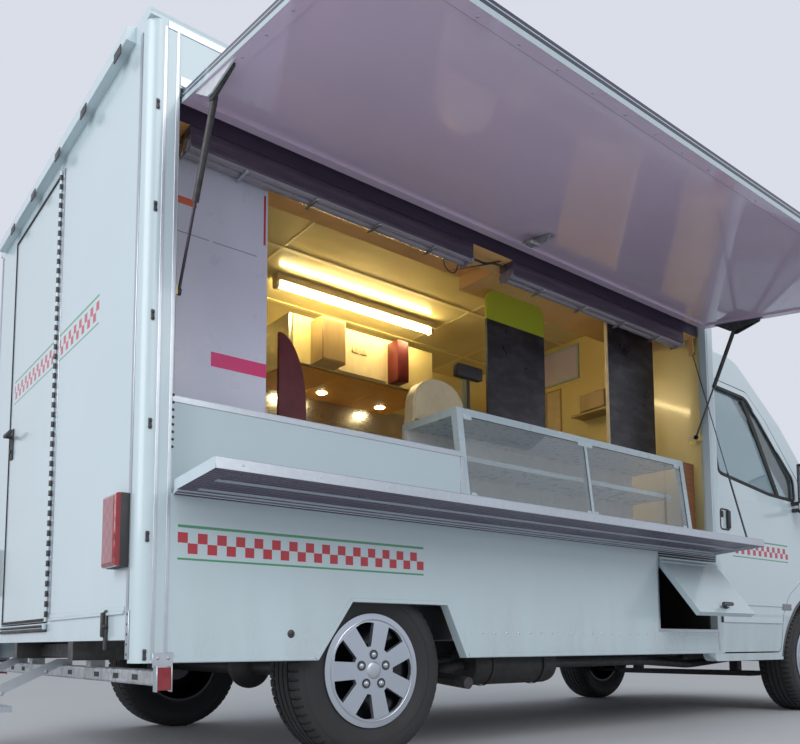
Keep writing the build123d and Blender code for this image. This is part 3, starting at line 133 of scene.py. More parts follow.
def ring(radius, sides=12):
    """A circle's points: (r cos a, r sin a)."""
    a = np.arange(sides) * 2 * math.pi / sides
    return np.stack([radius * np.cos(a), radius * np.sin(a)], -1)


def tube(path, radius, sides=12, up=(0, 0, 1)):
    """A round bar along a path."""
    return sweep(path, ring(radius, sides), up)


def rounded_path(corners, radius, steps=6, closed=False):
    """A path whose corners are eased by the curve (1-t)^2 A + 2t(1-t) C + t^2 B between points r from the corner."""
    corners = np.asarray(corners, float)
    count = len(corners)
    t = np.linspace(0, 1, steps + 1)[:, None]
    out = []
    for k in range(count):
        c = corners[k]
        if not closed and k in (0, count - 1):
            out.append(c[None])
            continue
        a = c + unit(corners[k - 1] - c) * radius
        b = c + unit(corners[(k + 1) % count] - c) * radius
        out.append((1 - t) ** 2 * a + 2 * t * (1 - t) * c + t ** 2 * b)
    return np.concatenate(out)


def lathe(profile, centre, axis=(0, 1, 0), sides=64, closed=False):
    """P(i, j) = centre + h_i axis + r_i (cos a_j e1 + sin a_j e2)."""
    profile = np.asarray(profile, float)
    axis = unit(axis)
    e1 = unit(np.cross(axis, (0.0, 0.0, 1.0) if abs(axis[2]) < 0.9 else (1.0, 0.0, 0.0)))
    e2 = np.cross(axis, e1)
    a = np.arange(sides) * 2 * math.pi / sides
    round_ = np.cos(a)[:, None] * e1 + np.sin(a)[:, None] * e2
    points = np.asarray(centre) + profile[:, None, 1:2] * axis + profile[:, None, :1] * round_[None]
    return points.reshape(-1, 3), grid_faces(len(profile), sides, wrap_rows=closed, wrap_columns=True), []


def prism(outline, axis, start, end):
    """A flat outline carried straight along x, y or z: (u, v) becomes the other two places, in order."""
    outline = np.asarray(outline, float)
    k = "xyz".index(axis)
    others = [n for n in range(3) if n != k]
    points = np.zeros((2, len(outline), 3))
    points[:, :, others] = outline
    points[0, :, k], points[1, :, k] = start, end
    n = len(outline)
    return points.reshape(-1, 3), grid_faces(2, n, wrap_columns=True), [list(range(n))[::-1], list(range(n, 2 * n))]


def dome(radius, height, sides=10, rows=3):
    """A low cap about Z: r cos t, h sin t."""
    t = np.linspace(0, math.pi / 2 * 0.96, rows)
    profile = np.stack([radius * np.cos(t), height * np.sin(t)], -1)
    points, faces, _ = lathe(profile, (0, 0, 0), (0, 0, 1), sides)
    return points, faces, [list(range((rows - 1) * sides, rows * sides)), list(range(sides))[::-1]]


def facing(shape, normal):
    """Turn a shape built along +Z to stand along a normal."""
    points, faces, caps = shape
    turn = Vector((0, 0, 1)).rotation_difference(Vector(normal)).to_matrix()
    return points @ np.array(turn).T, faces, caps


def repeated(shape, places):
    """The same shape at many places."""
    points, faces, caps = shape
    places = np.asarray(places, float).reshape(-1, 3)
    n = len(points)
    shift = (np.arange(len(places)) * n)[:, None, None]
    all_points = (points[None] + places[:, None]).reshape(-1, 3)
    all_caps = [[i + k * n for i in cap] for k in range(len(places)) for cap in caps]
    return all_points, (faces[None] + shift).reshape(-1, 4), all_caps


def turned(shapes, joint_name):
    """Shapes drawn with their joint at the far end of its range, turned back to where they rest."""
    joint = JOINTS[joint_name]
    pivot = np.array(joint["pos_m"]) - (REAR_X, MID_Y, 0)
    angle = -math.radians(max(joint["range_deg"]))
    turn = np.array(Matrix.Rotation(angle, 3, Vector(joint["axis"])))
    return [((points - pivot) @ turn.T + pivot, faces, caps) for points, faces, caps in shapes]


def joined(shapes):
    """Several shapes as one set of points, faces and caps."""
    points, faces, caps, base = [], [], [], 0
    for p, f, c in shapes:
        points.append(p)
        faces.append(np.asarray(f) + base)
        caps += [[i + base for i in cap] for cap in c]
        base += len(p)
    return np.concatenate(points), np.concatenate(faces), caps


def strip(path, width, thick, up, closed=False, lean=0.0):
    """A flat strip along a path, its lower face on the path and its middle set sideways by lean widths."""
    a0, a1 = (lean - 0.5) * width, (lean + 0.5) * width
    ease = thick * 0.3
    profile = [(a0, 0), (a1, 0), (a1, thick - ease), (a1 - ease, thick), (a0 + ease, thick), (a0, thick - ease)]
    return sweep(path, profile, up, closed)


def studs(places, radius, height, normal, sides=10):
    """Round-headed fasteners at many places, all facing one way."""
    return repeated(facing(dome(radius, height, sides), normal), places)


def row(start, end, count):
    """Places at even steps along a line."""
    t = np.linspace(0, 1, count)[:, None]
    return np.asarray(start) * (1 - t) + np.asarray(end) * t


def cab_half(z):
    """Half the cab's width at a height, as its front outline runs."""
    return np.interp(z, (0.340, 0.620, 1.320, 1.900, 2.346), (0.955, 0.985, 0.985, 0.910, 0.795))


def on_cab(places, side, proud=0.0):
    """Places (x, z) put on the cab's side."""
    places = np.asarray(places, float)
    return np.c_[places[:, 0], side * (cab_half(places[:, 1]) + proud), places[:, 1]]


def piece(name, shapes, look, body="truck", smooth=40.0):
    """Make one object from shapes: doubles merged, faces outwards, riding on its body. Its one slot holds
    the look's finish."""
    points, faces, caps = joined(shapes)
    mesh = bpy.data.meshes.new(name)
    mesh.from_pydata((points + (REAR_X, MID_Y, 0.0)).tolist(), [], faces.tolist() + caps)
    work = bmesh.new()
    work.from_mesh(mesh)
    bmesh.ops.remove_doubles(work, verts=work.verts, dist=1e-5)
    bmesh.ops.dissolve_degenerate(work, edges=work.edges, dist=1e-6)
    bmesh.ops.recalc_face_normals(work, faces=work.faces)
    work.to_mesh(mesh)
    work.free()
    mesh.materials.append(FINISH[look])
    obj = bpy.data.objects.new(name, mesh)
    bpy.context.scene.collection.objects.link(obj)
    mesh.shade_smooth()
    mesh.set_sharp_from_angle(angle=math.radians(smooth))
    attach(obj, body)
    return obj


# Node trees

def on_two(operation, swapped=False):
    """A method that makes one node from a value and another value or number."""
    def made(self, other):
        first, second = (other, self) if swapped else (self, other)
        return self.tree.math(operation, first, second)
    return made


class Value:
    """A node's output, to be summed, scaled and compared as a number is."""

    def __init__(self, tree, socket):
        self.tree, self.socket = tree, socket

    __add__, __radd__ = on_two("ADD"), on_two("ADD", True)
    __sub__, __rsub__ = on_two("SUBTRACT"), on_two("SUBTRACT", True)
    __mul__, __rmul__ = on_two("MULTIPLY"), on_two("MULTIPLY", True)
    __truediv__, __gt__, __lt__ = on_two("DIVIDE"), on_two("GREATER_THAN"), on_two("LESS_THAN")

    def __abs__(self):
        return self.tree.math("ABSOLUTE", self)


class Tree:
    """Short calls for building one node tree, and for a finish its material and shader."""

    def __init__(self, tree, material=None):
        self.tree, self.material, self.place_node = tree, material, None
        self.shader = tree.nodes.get("Principled BSDF")

    def node(self, kind, **settings):
        made = self.tree.nodes.new(kind)
        for key, value in settings.items():
            setattr(made, key, value)
        return made

    def read(self, node, output):
        return Value(self, node.outputs[output])

    def put(self, socket, value):
        if isinstance(value, Value):
            self.tree.links.new(value.socket, socket)
        elif socket.type == "RGBA":
            socket.default_value = (*value, 1.0)
        else:
            socket.default_value = value

    def feed(self, name, value):
        """Drive one of the shader's sockets."""
        self.put(self.shader.inputs[name], value)

    def cover(self, tone, rough, height, strength, distance):
        """Drive the shader's colour, roughness and bump, and return the material."""
        self.feed("Base Color", tone)
        self.feed("Roughness", rough)
        self.feed("Normal", self.bump(height, strength, distance))
        return self.material

    def place(self):
        if self.place_node is None:
            self.place_node = self.node("ShaderNodeTexCoord")
        return self.read(self.place_node, "Object")

    def axes(self, vector=None):
        """X, Y and Z of a vector, or of the place on the object."""
        split = self.node("ShaderNodeSeparateXYZ")
        self.put(split.inputs[0], self.place() if vector is None else vector())
        return [self.read(split, k) for k in range(3)]

    def facing(self):
        """The surface's own direction."""
        return self.read(self.node("ShaderNodeNewGeometry"), "Normal")

    def sine(self, value):
        return self.math("SINE", value)

    def floor(self, value):
        return self.math("FLOOR", value)

    def math(self, operation, a, b=0.0, clamp=False):
        made = self.node("ShaderNodeMath", operation=operation, use_clamp=clamp)
        self.put(made.inputs[0], a)
        self.put(made.inputs[1], b)
        return self.read(made, 0)

    def mix(self, factor, a, b):
        made = self.node("ShaderNodeMix", data_type="RGBA")
        self.put(made.inputs["Factor"], factor)
        self.put(made.inputs[6], a)
        self.put(made.inputs[7], b)
        return self.read(made, 2)

    def noise(self, scale, detail=3.0, stretch=(1, 1, 1)):
        mapping = self.node("ShaderNodeMapping")
        mapping.inputs["Scale"].default_value = stretch
        self.put(mapping.inputs["Vector"], self.place())
        made = self.node("ShaderNodeTexNoise")
        self.put(made.inputs["Vector"], self.read(mapping, 0))
        self.put(made.inputs["Scale"], scale)
        made.inputs["Detail"].default_value = detail
        return self.read(made, "Fac")

    def remap(self, value, low, high, new_low=0.0, new_high=1.0):
        made = self.node("ShaderNodeMapRange", interpolation_type="LINEAR")
        for socket, v in zip(made.inputs, (value, low, high, new_low, new_high)):
            self.put(socket, v)
        return self.read(made, 0)

    def within(self, value, low, high):
        """1 where a value lies between two others, and 0 elsewhere."""
        over = self.math("GREATER_THAN", value, low)
        under = self.math("LESS_THAN", value, high)
        return self.math("MULTIPLY", over, under)

    def bump(self, height, strength=0.3, distance=0.001):
        made = self.node("ShaderNodeBump")
        made.inputs["Strength"].default_value = strength
        made.inputs["Distance"].default_value = distance
        self.put(made.inputs["Height"], height)
        return self.read(made, "Normal")


def effect(name, inputs, outputs):
    """An empty node group with named inputs and outputs, its tree and its two end nodes."""
    group = bpy.data.node_groups.new(name, "ShaderNodeTree")
    for label, value in inputs:
        socket = group.interface.new_socket(label, in_out="INPUT", socket_type="NodeSocketFloat")
        socket.default_value = value
    for label in outputs:
        group.interface.new_socket(label, in_out="OUTPUT", socket_type="NodeSocketFloat")
    tree = Tree(group)
    start = tree.node("NodeGroupInput")
    given = {label: tree.read(start, label) for label, _ in inputs}
    return group, tree, given, tree.node("NodeGroupOutput").inputs


def orange_peel():
    """The faint ripple and uneven gloss of a sprayed or moulded panel."""
    group, t, given, out = effect("Orange peel", (("Scale", 160.0), ("Gloss", 0.25)), ("Height", "Roughness"))
    fine = t.noise(given["Scale"], 2.0)
    broad = t.noise(3.0, 3.0)
    t.put(out["Height"], fine + broad * 2.0)
    t.put(out["Roughness"], given["Gloss"] + (broad - 0.5) * 0.12)
    return group


def road_film():
    """Grey road film: thick near the ground, thinning upwards in uneven streaks."""
    group, t, given, out = effect("Road film", (("Top", 0.9), ("Amount", 0.5)), ("Mask",))
    z = t.axes()[2]
    fall = t.remap(z, 0.15, given["Top"], 1.0, 0.0)
    streak = t.noise(9.0, 5.0, (1.0, 1.0, 0.25))
    patch = t.remap(streak, 0.38, 0.72)
    t.put(out["Mask"], t.math("MULTIPLY", t.math("POWER", fall, 1.6) * patch, given["Amount"], clamp=True))
    return group


def brushed_grain():
    """Fine lines along the length of rolled or brushed metal."""
    group, t, given, out = effect("Brushed grain", (("Roughness", 0.35),), ("Roughness", "Height"))
    lines = t.noise(60.0, 3.0, (0.25, 8.0, 8.0))
    cloud = t.noise(6.0, 3.0)
    t.put(out["Height"], lines)
    spread = (lines + cloud - 1.0) * 0.22
    t.put(out["Roughness"], given["Roughness"] + spread)
    return group


def rubbed_edge():
    """Bare or pale rubbing along sharp edges, broken by noise."""
    group, t, given, out = effect("Rubbed edge", (("Reach", 0.06),), ("Mask",))
    sharp = t.remap(t.read(t.node("ShaderNodeNewGeometry"), "Pointiness"), 0.5, 0.5 + given["Reach"])
    broken = t.remap(t.noise(40.0, 4.0), 0.42, 0.62)
    t.put(out["Mask"], t.math("MULTIPLY", sharp, broken, clamp=True))
    return group


def chequer_band():
    """Two rows of squares in a level band, with a thin line above and below it."""
    group, t, given, out = effect(
        "Chequer band",
        (("Along", 0.0), ("Up", 0.0), ("Start", 0.0), ("End", 1.0), ("Base", 0.0), ("Square", 0.03)),
        ("Squares", "Lines"),
    )
    u = (given["Along"] - given["Start"]) / given["Square"]
    v = (given["Up"] - given["Base"]) / given["Square"]
    parity = t.math("MODULO", t.floor(u) + t.floor(v), 2.0)
    odd = abs(parity) > 0.5
    inside = t.within(given["Along"], given["Start"], given["End"])
    t.put(out["Squares"], odd * inside * t.within(v, 0.0, 2.0))
    lines = t.within(v, 2.45, 2.72) + t.within(v, -0.62, -0.42)
    t.put(out["Lines"], lines * inside)
    return group


def inside_box():
    """1 on the faces that look into the box body, 0 on its outside."""
    group, t, _, out = effect("Inside box", (), ("Mask",))
    x, y, z = t.axes()
    across = t.within(y, MID_Y - 1.0215, MID_Y + 1.0215)
    along = t.within(x, REAR_X + 0.03, REAR_X + 3.361)
    t.put(out["Mask"], across * along * t.within(z, 0.5, 2.5115))
    return group


GROUPS = {}


def use(tree, name, outputs, **values):
    """Place a shared effect in a material and return the outputs asked for."""
    made = tree.node("ShaderNodeGroup", node_tree=GROUPS[name])
    for key, value in values.items():
        tree.put(made.inputs[key], value)
    return [tree.read(made, o) for o in outputs]


def finish(name, colour, roughness=0.4, metallic=0.0, **plain):
    """A new material's tree, with the plain values set on its shader."""
    material = bpy.data.materials.new(name)
    material.use_nodes = True
    tree = Tree(material.node_tree, material)
    shader = tree.shader
    shader.inputs["Base Color"].default_value = (*colour, 1.0)
    shader.inputs["Roughness"].default_value = roughness
    shader.inputs["Metallic"].default_value = metallic
    for key, value in plain.items():
        shader.inputs[key.replace("_", " ")].default_value = value
    material.diffuse_color = (*colour, 1.0)
    return tree


def shade(colour, share, lift=0.0):
    """A colour made darker or paler."""
    return tuple(c * share + lift for c in colour)


def panel_paint(name, colour, gloss=0.22, dust=0.45, film_top=0.9, artwork=None, lining=None):
    """Glossy panel: orange peel, road film low down, a chequer band and an inner lining where they are named."""
    t = finish(name, colour, gloss, Coat_Weight=0.35, Coat_Roughness=0.06)
    tone = t.mix(t.remap(t.noise(1.3, 4.0), 0.35, 0.7), colour, shade(colour, 0.955))
    if artwork:
        axes = t.axes()
        squares, lines = use(
            t, "Chequer band", ("Squares", "Lines"), Along=axes[artwork["axis"]], Up=axes[2],
            Start=artwork["start"], End=artwork["end"], Base=artwork["base"], Square=artwork["square"],
        )
        outward = t.axes(t.facing)[1 - artwork["axis"]] * -1.0
        shown = outward > 0.6
        tone = t.mix(squares * shown, tone, artwork["square_colour"])
        tone = t.mix(lines * shown, tone, artwork["line_colour"])
    film, = use(t, "Road film", ("Mask",), Top=film_top, Amount=dust)
    tone = t.mix(film, tone, (0.30, 0.29, 0.27))
    if lining:
        mask, = use(t, "Inside box", ("Mask",))
        warm = t.mix(t.remap(t.noise(2.2, 4.0), 0.3, 0.7), lining, shade(lining, 0.88))
        tone = t.mix(mask, tone, warm)
    height, rough = use(t, "Orange peel", ("Height", "Roughness"), Gloss=gloss)
    return t.cover(tone, rough + film * 0.4, height, 0.12, 0.0006)


def brushed_metal(name, colour, roughness=0.35, dust=0.2, film_top=0.8):
    """Rolled aluminium or stainless sheet with fine lines and rubbed edges."""
    t = finish(name, colour, roughness, 1.0)
    rough, height = use(t, "Brushed grain", ("Roughness", "Height"), Roughness=roughness)
    film, = use(t, "Road film", ("Mask",), Top=film_top, Amount=dust)
    rub, = use(t, "Rubbed edge", ("Mask",))
    tone = t.mix(t.remap(t.noise(2.0, 3.0), 0.3, 0.75), colour, shade(colour, 0.90))
    tone = t.mix(rub * 0.25, tone, shade(colour, 1.15))
    return t.cover(t.mix(film, tone, (0.22, 0.21, 0.20)), rough + film * 0.35, height, 0.1, 0.0003)


def zinc_coat(name):
    """Hot-dip zinc: grey cells of several tones, dull, with road film."""
    t = finish(name, (0.48, 0.50, 0.52), 0.5, 0.85)
    cells = t.node("ShaderNodeTexVoronoi")
    t.put(cells.inputs["Vector"], t.place())
    cells.inputs["Scale"].default_value = 55.0
    level = t.remap(t.read(cells, "Color"), 0.0, 1.0)
    tone = t.mix(level, (0.36, 0.38, 0.40), (0.58, 0.60, 0.62))
    film, = use(t, "Road film", ("Mask",), Top=0.7, Amount=0.55)
    return t.cover(
        t.mix(film, tone, (0.16, 0.14, 0.12)), t.remap(level, 0.0, 1.0, 0.38, 0.62), t.read(cells, "Distance"), 0.15,
        0.0008,
    )


def coated_steel(name, colour, roughness=0.45, dust=0.6, film_top=0.9):
    """Painted or powder-coated steel with a fine grain, rubbed edges and road film."""
    t = finish(name, colour, roughness, 0.0)
    rub, = use(t, "Rubbed edge", ("Mask",), Reach=0.08)
    film, = use(t, "Road film", ("Mask",), Top=film_top, Amount=dust)
    tone = t.mix(t.noise(14.0, 4.0), colour, shade(colour, 1.25, 0.01))
    tone = t.mix(rub * 0.12, tone, (0.22, 0.22, 0.22))
    return t.cover(
        t.mix(film, tone, (0.060, 0.052, 0.045)),
        t.remap(t.noise(30.0, 3.0), 0.3, 0.7, roughness - 0.08, roughness + 0.12), t.noise(420.0, 2.0), 0.2, 0.0004,
    )


def moulded_plastic(name, colour, roughness=0.55, grain=900.0, dust=0.3):
    """Grained moulded plastic or rubber."""
    t = finish(name, colour, roughness, 0.0)
    film, = use(t, "Road film", ("Mask",), Top=0.8, Amount=dust)
    tone = t.mix(t.noise(8.0, 4.0), colour, shade(colour, 1.3, 0.004))
    return t.cover(
        t.mix(film, tone, (0.22, 0.20, 0.18)),
        t.remap(t.noise(25.0, 3.0), 0.3, 0.7, roughness - 0.06, roughness + 0.1), t.noise(grain, 2.0), 0.25, 0.0004,
    )


def lens(name, colour, ribs=180.0):
    """A moulded lamp lens: deep colour, clear coat, fine inner ribs."""
    t = finish(name, colour, 0.12, 0.0, Coat_Weight=0.8, Coat_Roughness=0.03)
    x, y, z = t.axes()
    wave = t.sine(z * ribs)
    cross = t.sine((y + x) * ribs)
    grid = wave * cross
    t.feed("Base Color", t.mix(t.remap(grid, -1.0, 1.0), shade(colour, 0.7), colour))
    t.feed("Normal", t.bump(grid, 0.35, 0.0008))
    return t.material


def clear_glass(name, tint=(0.86, 0.93, 0.94), haze=0.03, dust=0.35):
    """Tinted clear glass with a faint film on it."""
    t = finish(name, tint, haze, 0.0, Transmission_Weight=0.92, IOR=1.45)
    smear = t.remap(t.noise(5.0, 5.0, (1.0, 1.0, 0.4)), 0.45, 0.8, haze, haze + dust * 0.25)
    t.feed("Roughness", smear)
    t.feed("Base Color", t.mix(t.noise(3.0), tint, shade(tint, 0.95)))
    return t.material


def lamp_glow(name, colour, strength):
    """A lit diffuser: opal plastic that gives light, its glow a little uneven."""
    t = finish(name, colour, 0.35)
    t.feed("Emission Color", t.mix(t.noise(6.0), colour, shade(colour, 0.92)))
    t.shader.inputs["Emission Strength"].default_value = strength
    t.feed("Roughness", t.remap(t.noise(60.0), 0.3, 0.7, 0.3, 0.42))
    return t.material


def laminate(name, colour, second, roughness=0.35, stretch=(1, 1, 1), scale=18.0, dust=0.0):
    """Board with a printed grain between two tones."""
    t = finish(name, colour, roughness)
    grain = t.remap(t.noise(scale, 6.0, stretch), 0.3, 0.72)
    tone = t.mix(grain, colour, second)
    if dust:
        film, = use(t, "Road film", ("Mask",), Top=1.2, Amount=dust)
        tone = t.mix(film, tone, (0.25, 0.23, 0.20))
    return t.cover(tone, t.remap(grain, 0.0, 1.0, roughness, roughness + 0.12), grain, 0.08, 0.0005)


def wheel_silver(name, colour):
    """A wheel's silver paint, with painted shade on the barrel and disc behind the cover, coloured near-black."""
    t = finish(name, colour, 0.3, 0.75, Coat_Weight=0.4)
    x, y, _ = t.axes()
    out = abs(y - MID_Y)
    front = x > REAR_X + 2.8
    behind = out < 0.976 - front * 0.038
    tone = t.mix(t.noise(5.0, 4.0), colour, shade(colour, 0.88))
    # Painted shade: the barrel and disc behind the cover are coloured near-black.
    tone = t.mix(behind, tone, (0.018, 0.019, 0.024))
    height, rough = use(t, "Orange peel", ("Height", "Roughness"), Gloss=0.3, Scale=160.0)
    return t.cover(tone, rough, height, 0.1, 0.0004)


def tyre_rubber(name):
    """Tyre rubber: near-black with paler patches of dust, and a fine grain."""
    t = finish(name, (0.022, 0.022, 0.024), 0.72)
    dust = t.remap(t.noise(12.0, 6.0), 0.4, 0.75)
    return t.cover(
        t.mix(dust * 0.5, (0.020, 0.020, 0.022), (0.045, 0.043, 0.042)), t.remap(dust, 0.0, 1.0, 0.62, 0.85),
        t.noise(240.0, 3.0), 0.25, 0.0006,
    )


def woven_cloth(name, colour, second):
    """Coarse seat cloth: two crossed threads from sines of the place."""
    t = finish(name, colour, 0.92, Sheen_Weight=0.25)
    x, y, z = t.axes()
    warp = t.sine(y * 1800.0)
    weft = t.sine((x + z) * 1800.0)
    weave = warp * weft
    t.feed("Base Color", t.mix(t.remap(weave + t.noise(30.0), -1.0, 2.0), colour, second))
    t.feed("Normal", t.bump(weave, 0.4, 0.0008))
    t.feed("Roughness", t.remap(t.noise(20.0), 0.3, 0.7, 0.85, 0.98))
    return t.material


def menu_face(name):
    """The blank boards: a white panel with a pink band and small fields, and two black boards, one lime-topped."""
    t = finish(name, (0.80, 0.80, 0.80), 0.3)
    x, _, z = t.axes()

    def field(x0, x1, z0, z1):
        return t.within(x, REAR_X + x0, REAR_X + x1) * t.within(z, z0, z1)

    white = t.mix(t.remap(t.noise(2.0, 3.0), 0.3, 0.7), (0.62, 0.63, 0.72), (0.54, 0.55, 0.66))
    for area, colour in (
        ((0.300, 0.521, 1.425, 1.478), (0.62, 0.03, 0.16)), ((0.160, 0.236, 1.985, 2.012), (0.62, 0.13, 0.06)),
        ((0.503, 0.512, 1.935, 2.130), (0.45, 0.03, 0.05)), ((0.300, 0.475, 1.880, 1.884), (0.25, 0.25, 0.30)),
        ((0.167, 0.285, 1.880, 1.884), (0.25, 0.25, 0.30)),
    ):
        white = t.mix(field(*area), white, colour)
    smudge = t.remap(t.noise(9.0, 5.0, (1.0, 1.0, 2.4)), 0.45, 0.85)
    dark = t.mix(smudge, (0.020, 0.019, 0.024), (0.075, 0.070, 0.085))
    dark = t.mix(field(1.9, 2.4, 2.112, 2.4), dark, (0.40, 0.47, 0.035))
    t.feed("Base Color", t.mix(t.within(x, REAR_X, REAR_X + 0.6), dark, white))
    t.feed("Roughness", t.remap(t.noise(12.0), 0.3, 0.7, 0.25, 0.45))
    return t.material


def hatch_gloss(name, under, edge_dark, edge_light):
    """The hatch: white above, gloss lilac below with a framed border, and a dark and light line round its edge."""
    t = finish(name, under, 0.10, Coat_Weight=0.7, Coat_Roughness=0.03)
    x, y, z = t.axes()
    joint = JOINTS["hatch_hinge"]
    angle = math.radians(max(joint["range_deg"]))
    dy = y - joint["pos_m"][1]
    dz = z - joint["pos_m"][2]
    out = dy * -math.sin(angle) + dz * -math.cos(angle)
    rise = dy * -math.cos(angle) + dz * math.sin(angle)
    top = rise > -0.0075
    rim = t.math("MAXIMUM", out > 1.0572, 1.0 - t.within(x, REAR_X + 0.112, REAR_X + 3.259))
    tone = t.mix(t.remap(t.noise(0.9, 4.0), 0.35, 0.7), under, shade(under, 0.88))
    frame_line = t.within(out, 1.0085, 1.0125)
    tone = t.mix(frame_line, tone, shade(under, 0.5))
    tone = t.mix(top, tone, edge_light)
    split = rise < -0.03
    line = t.within(rise, -0.019, -0.016)
    tone = t.mix(rim, tone, t.mix(t.math("MAXIMUM", split, line), edge_dark, edge_light))
    height, rough = use(t, "Orange peel", ("Height", "Roughness"), Gloss=0.10, Scale=90.0)
    return t.cover(tone, rough, height, 0.10, 0.0006)


def shelf_gloss(name, top, under):
    """The shelf: pale and worn above; its downward faces carry painted shade, a dark purple that deepens in the
    troughs of their long ribs.
    """
    t = finish(name, top, 0.3)
    # Painted shade: faces turned downwards take the dark colour, darker still in the rib troughs.
    below = t.axes(t.facing)[2] < -0.4
    y = t.axes()[1]
    ribs = t.sine(y * 300.0)
    worn = t.remap(t.noise(7.0, 5.0, (0.6, 1.0, 1.0)), 0.35, 0.8)
    upper = t.mix(worn, top, shade(top, 0.90))
    lower = t.mix(t.remap(ribs, -1.0, 1.0), under, shade(under, 0.45))
    return t.cover(t.mix(below, upper, lower), t.remap(worn, 0.0, 1.0, 0.26, 0.42), ribs * below, 0.5, 0.002)


def header_board(name, warm, band):
    """The header: warm lining below and inside, and painted shadow, a dark band, on its face towards the serving side.
    """
    t = finish(name, warm, 0.4)
    y = t.axes()[1]
    # Painted shadow: the face towards the serving side is coloured dark.
    painted_shadow_face = y < MID_Y - 1.004
    tone = t.mix(t.remap(t.noise(3.0, 4.0), 0.3, 0.7), warm, shade(warm, 0.8))
    dark = t.mix(t.noise(5.0, 4.0), band, shade(band, 0.6))
    t.feed("Base Color", t.mix(painted_shadow_face, tone, dark))
    t.feed("Roughness", t.remap(t.noise(15.0), 0.3, 0.7, 0.35, 0.5))
    return t.material


def bracket_paint(name, pale, dark):
    """The hatch's brackets: the rear one white, the front one given the dark colour as painted shade, both a little
    rubbed.
    """
    t = finish(name, dark, 0.4)
    x = t.axes()[0]
    rear = x < REAR_X + 1.0
    rub, = use(t, "Rubbed edge", ("Mask",), Reach=0.08)
    # Painted shade: the front bracket takes the dark colour, the rear one the pale.
    tone = t.mix(rear, dark, pale)
    tone = t.mix(rub * 0.12, tone, (0.22, 0.22, 0.23))
    t.feed("Base Color", t.mix(t.noise(20.0, 4.0) * 0.3, tone, (0.2, 0.2, 0.22)))
    t.feed("Roughness", t.remap(t.noise(30.0), 0.3, 0.7, 0.3, 0.5))
    return t.material


def case_paint(name, pale, back):
    """The display case's frame: white outside, lilac-grey on its back board."""
    t = finish(name, pale, 0.28, Coat_Weight=0.3)
    _, y, z = t.axes()
    behind = t.within(y, MID_Y - 0.64, MID_Y - 0.6) * t.within(z, 1.083, 1.442)
    tone = t.mix(t.noise(6.0, 4.0), pale, shade(pale, 0.93))
    t.feed("Base Color", t.mix(behind, tone, t.mix(t.noise(3.0, 5.0), back, shade(back, 0.72))))
    t.feed("Roughness", t.remap(t.noise(25.0), 0.3, 0.7, 0.24, 0.36))
    return t.material


def headlamp_glass(name):
    """A headlamp: bright bowls behind a clear cover, drawn as rings about each bowl's middle."""
    t = finish(name, (0.75, 0.78, 0.82), 0.06, 0.35, Coat_Weight=1.0, Coat_Roughness=0.02)
    x, y, z = t.axes()
    out = abs(y - MID_Y) - 0.7
    up = z - 0.89
    far = t.math("SQRT", out * out + up * up)
    rings = t.sine(far * 420.0)
    bowl = far < 0.085
    bulb = far < 0.022
    flutes = t.sine((out - x) * 260.0)
    cover = t.mix(t.remap(flutes, -1.0, 1.0), (0.30, 0.33, 0.36), (0.50, 0.54, 0.58))
    tone = t.mix(bowl, cover, t.mix(t.remap(rings, -1.0, 1.0), (0.80, 0.82, 0.85), (0.55, 0.58, 0.62)))
    tone = t.mix(bulb, tone, (0.95, 0.95, 0.92))
    amber = t.within(far, 0.095, 0.122) * (up < -0.055)
    t.feed("Base Color", t.mix(amber, tone, (0.45, 0.15, 0.02)))
    t.feed("Normal", t.bump(rings, 0.3, 0.0012))
    return t.material


def bumper_grain(name, colour):
    """The bumper: grained dark plastic, a barred air inlet and a blank white plate with a black edge."""
    t = finish(name, colour, 0.6)
    x, y, z = t.axes()
    front = x > REAR_X + 5.545
    side = abs(y - MID_Y)

    def field(half, z0, z1):
        return (side < half) * t.within(z, z0, z1) * front

    slats = t.sine(z * 330.0)
    tone = t.mix(t.noise(9.0, 4.0), colour, shade(colour, 1.3))
    tone = t.mix(field(0.52, 0.36, 0.48), tone, t.mix(slats > 0.2, (0.006, 0.006, 0.006), colour))
    tone = t.mix(field(0.264, 0.532, 0.648), tone, (0.02, 0.02, 0.02))
    tone = t.mix(field(0.260, 0.536, 0.644), tone, (0.75, 0.75, 0.74))
    film, = use(t, "Road film", ("Mask",), Top=0.8, Amount=0.4)
    return t.cover(
        t.mix(film, tone, (0.2, 0.19, 0.18)), t.remap(t.noise(25.0, 3.0), 0.3, 0.7, 0.5, 0.68), t.noise(700.0, 2.0),
        0.25, 0.0004,
    )


def tube_cover(name, colour):
    """A lamp's long clear cover over a dark reflector: fine lines along it, a dull shine."""
    t = finish(name, colour, 0.22, 0.0, Coat_Weight=0.7, Coat_Roughness=0.1)
    _, y, z = t.axes()
    lines = t.sine((y + z) * 900.0)
    cloud = t.remap(t.noise(4.0, 5.0, (0.5, 2.0, 2.0)), 0.3, 0.75)
    tone = t.mix(cloud, colour, shade(colour, 0.55))
    return t.cover(
        t.mix(t.remap(lines, -1.0, 1.0, 0.0, 0.3), tone, shade(colour, 0.35)), t.remap(cloud, 0.0, 1.0, 0.18, 0.36),
        lines, 0.3, 0.0008,
    )


FINISH = {}


def dress(node, key):
    """Give a CAD node a finish by assigning to its material slots."""
    obj = frame["nodes"][node]
    if not obj.material_slots:
        obj.data.materials.append(FINISH[key])
    for entry in obj.material_slots:
        entry.material = FINISH[key]


# What a user would change

def swatch(name, covers, default):
    """A colour that a user would change."""
    return FloatVectorProperty(
        name=name, description=f"Colour of {covers}", subtype="COLOR", default=default, min=0, max=1,
    )


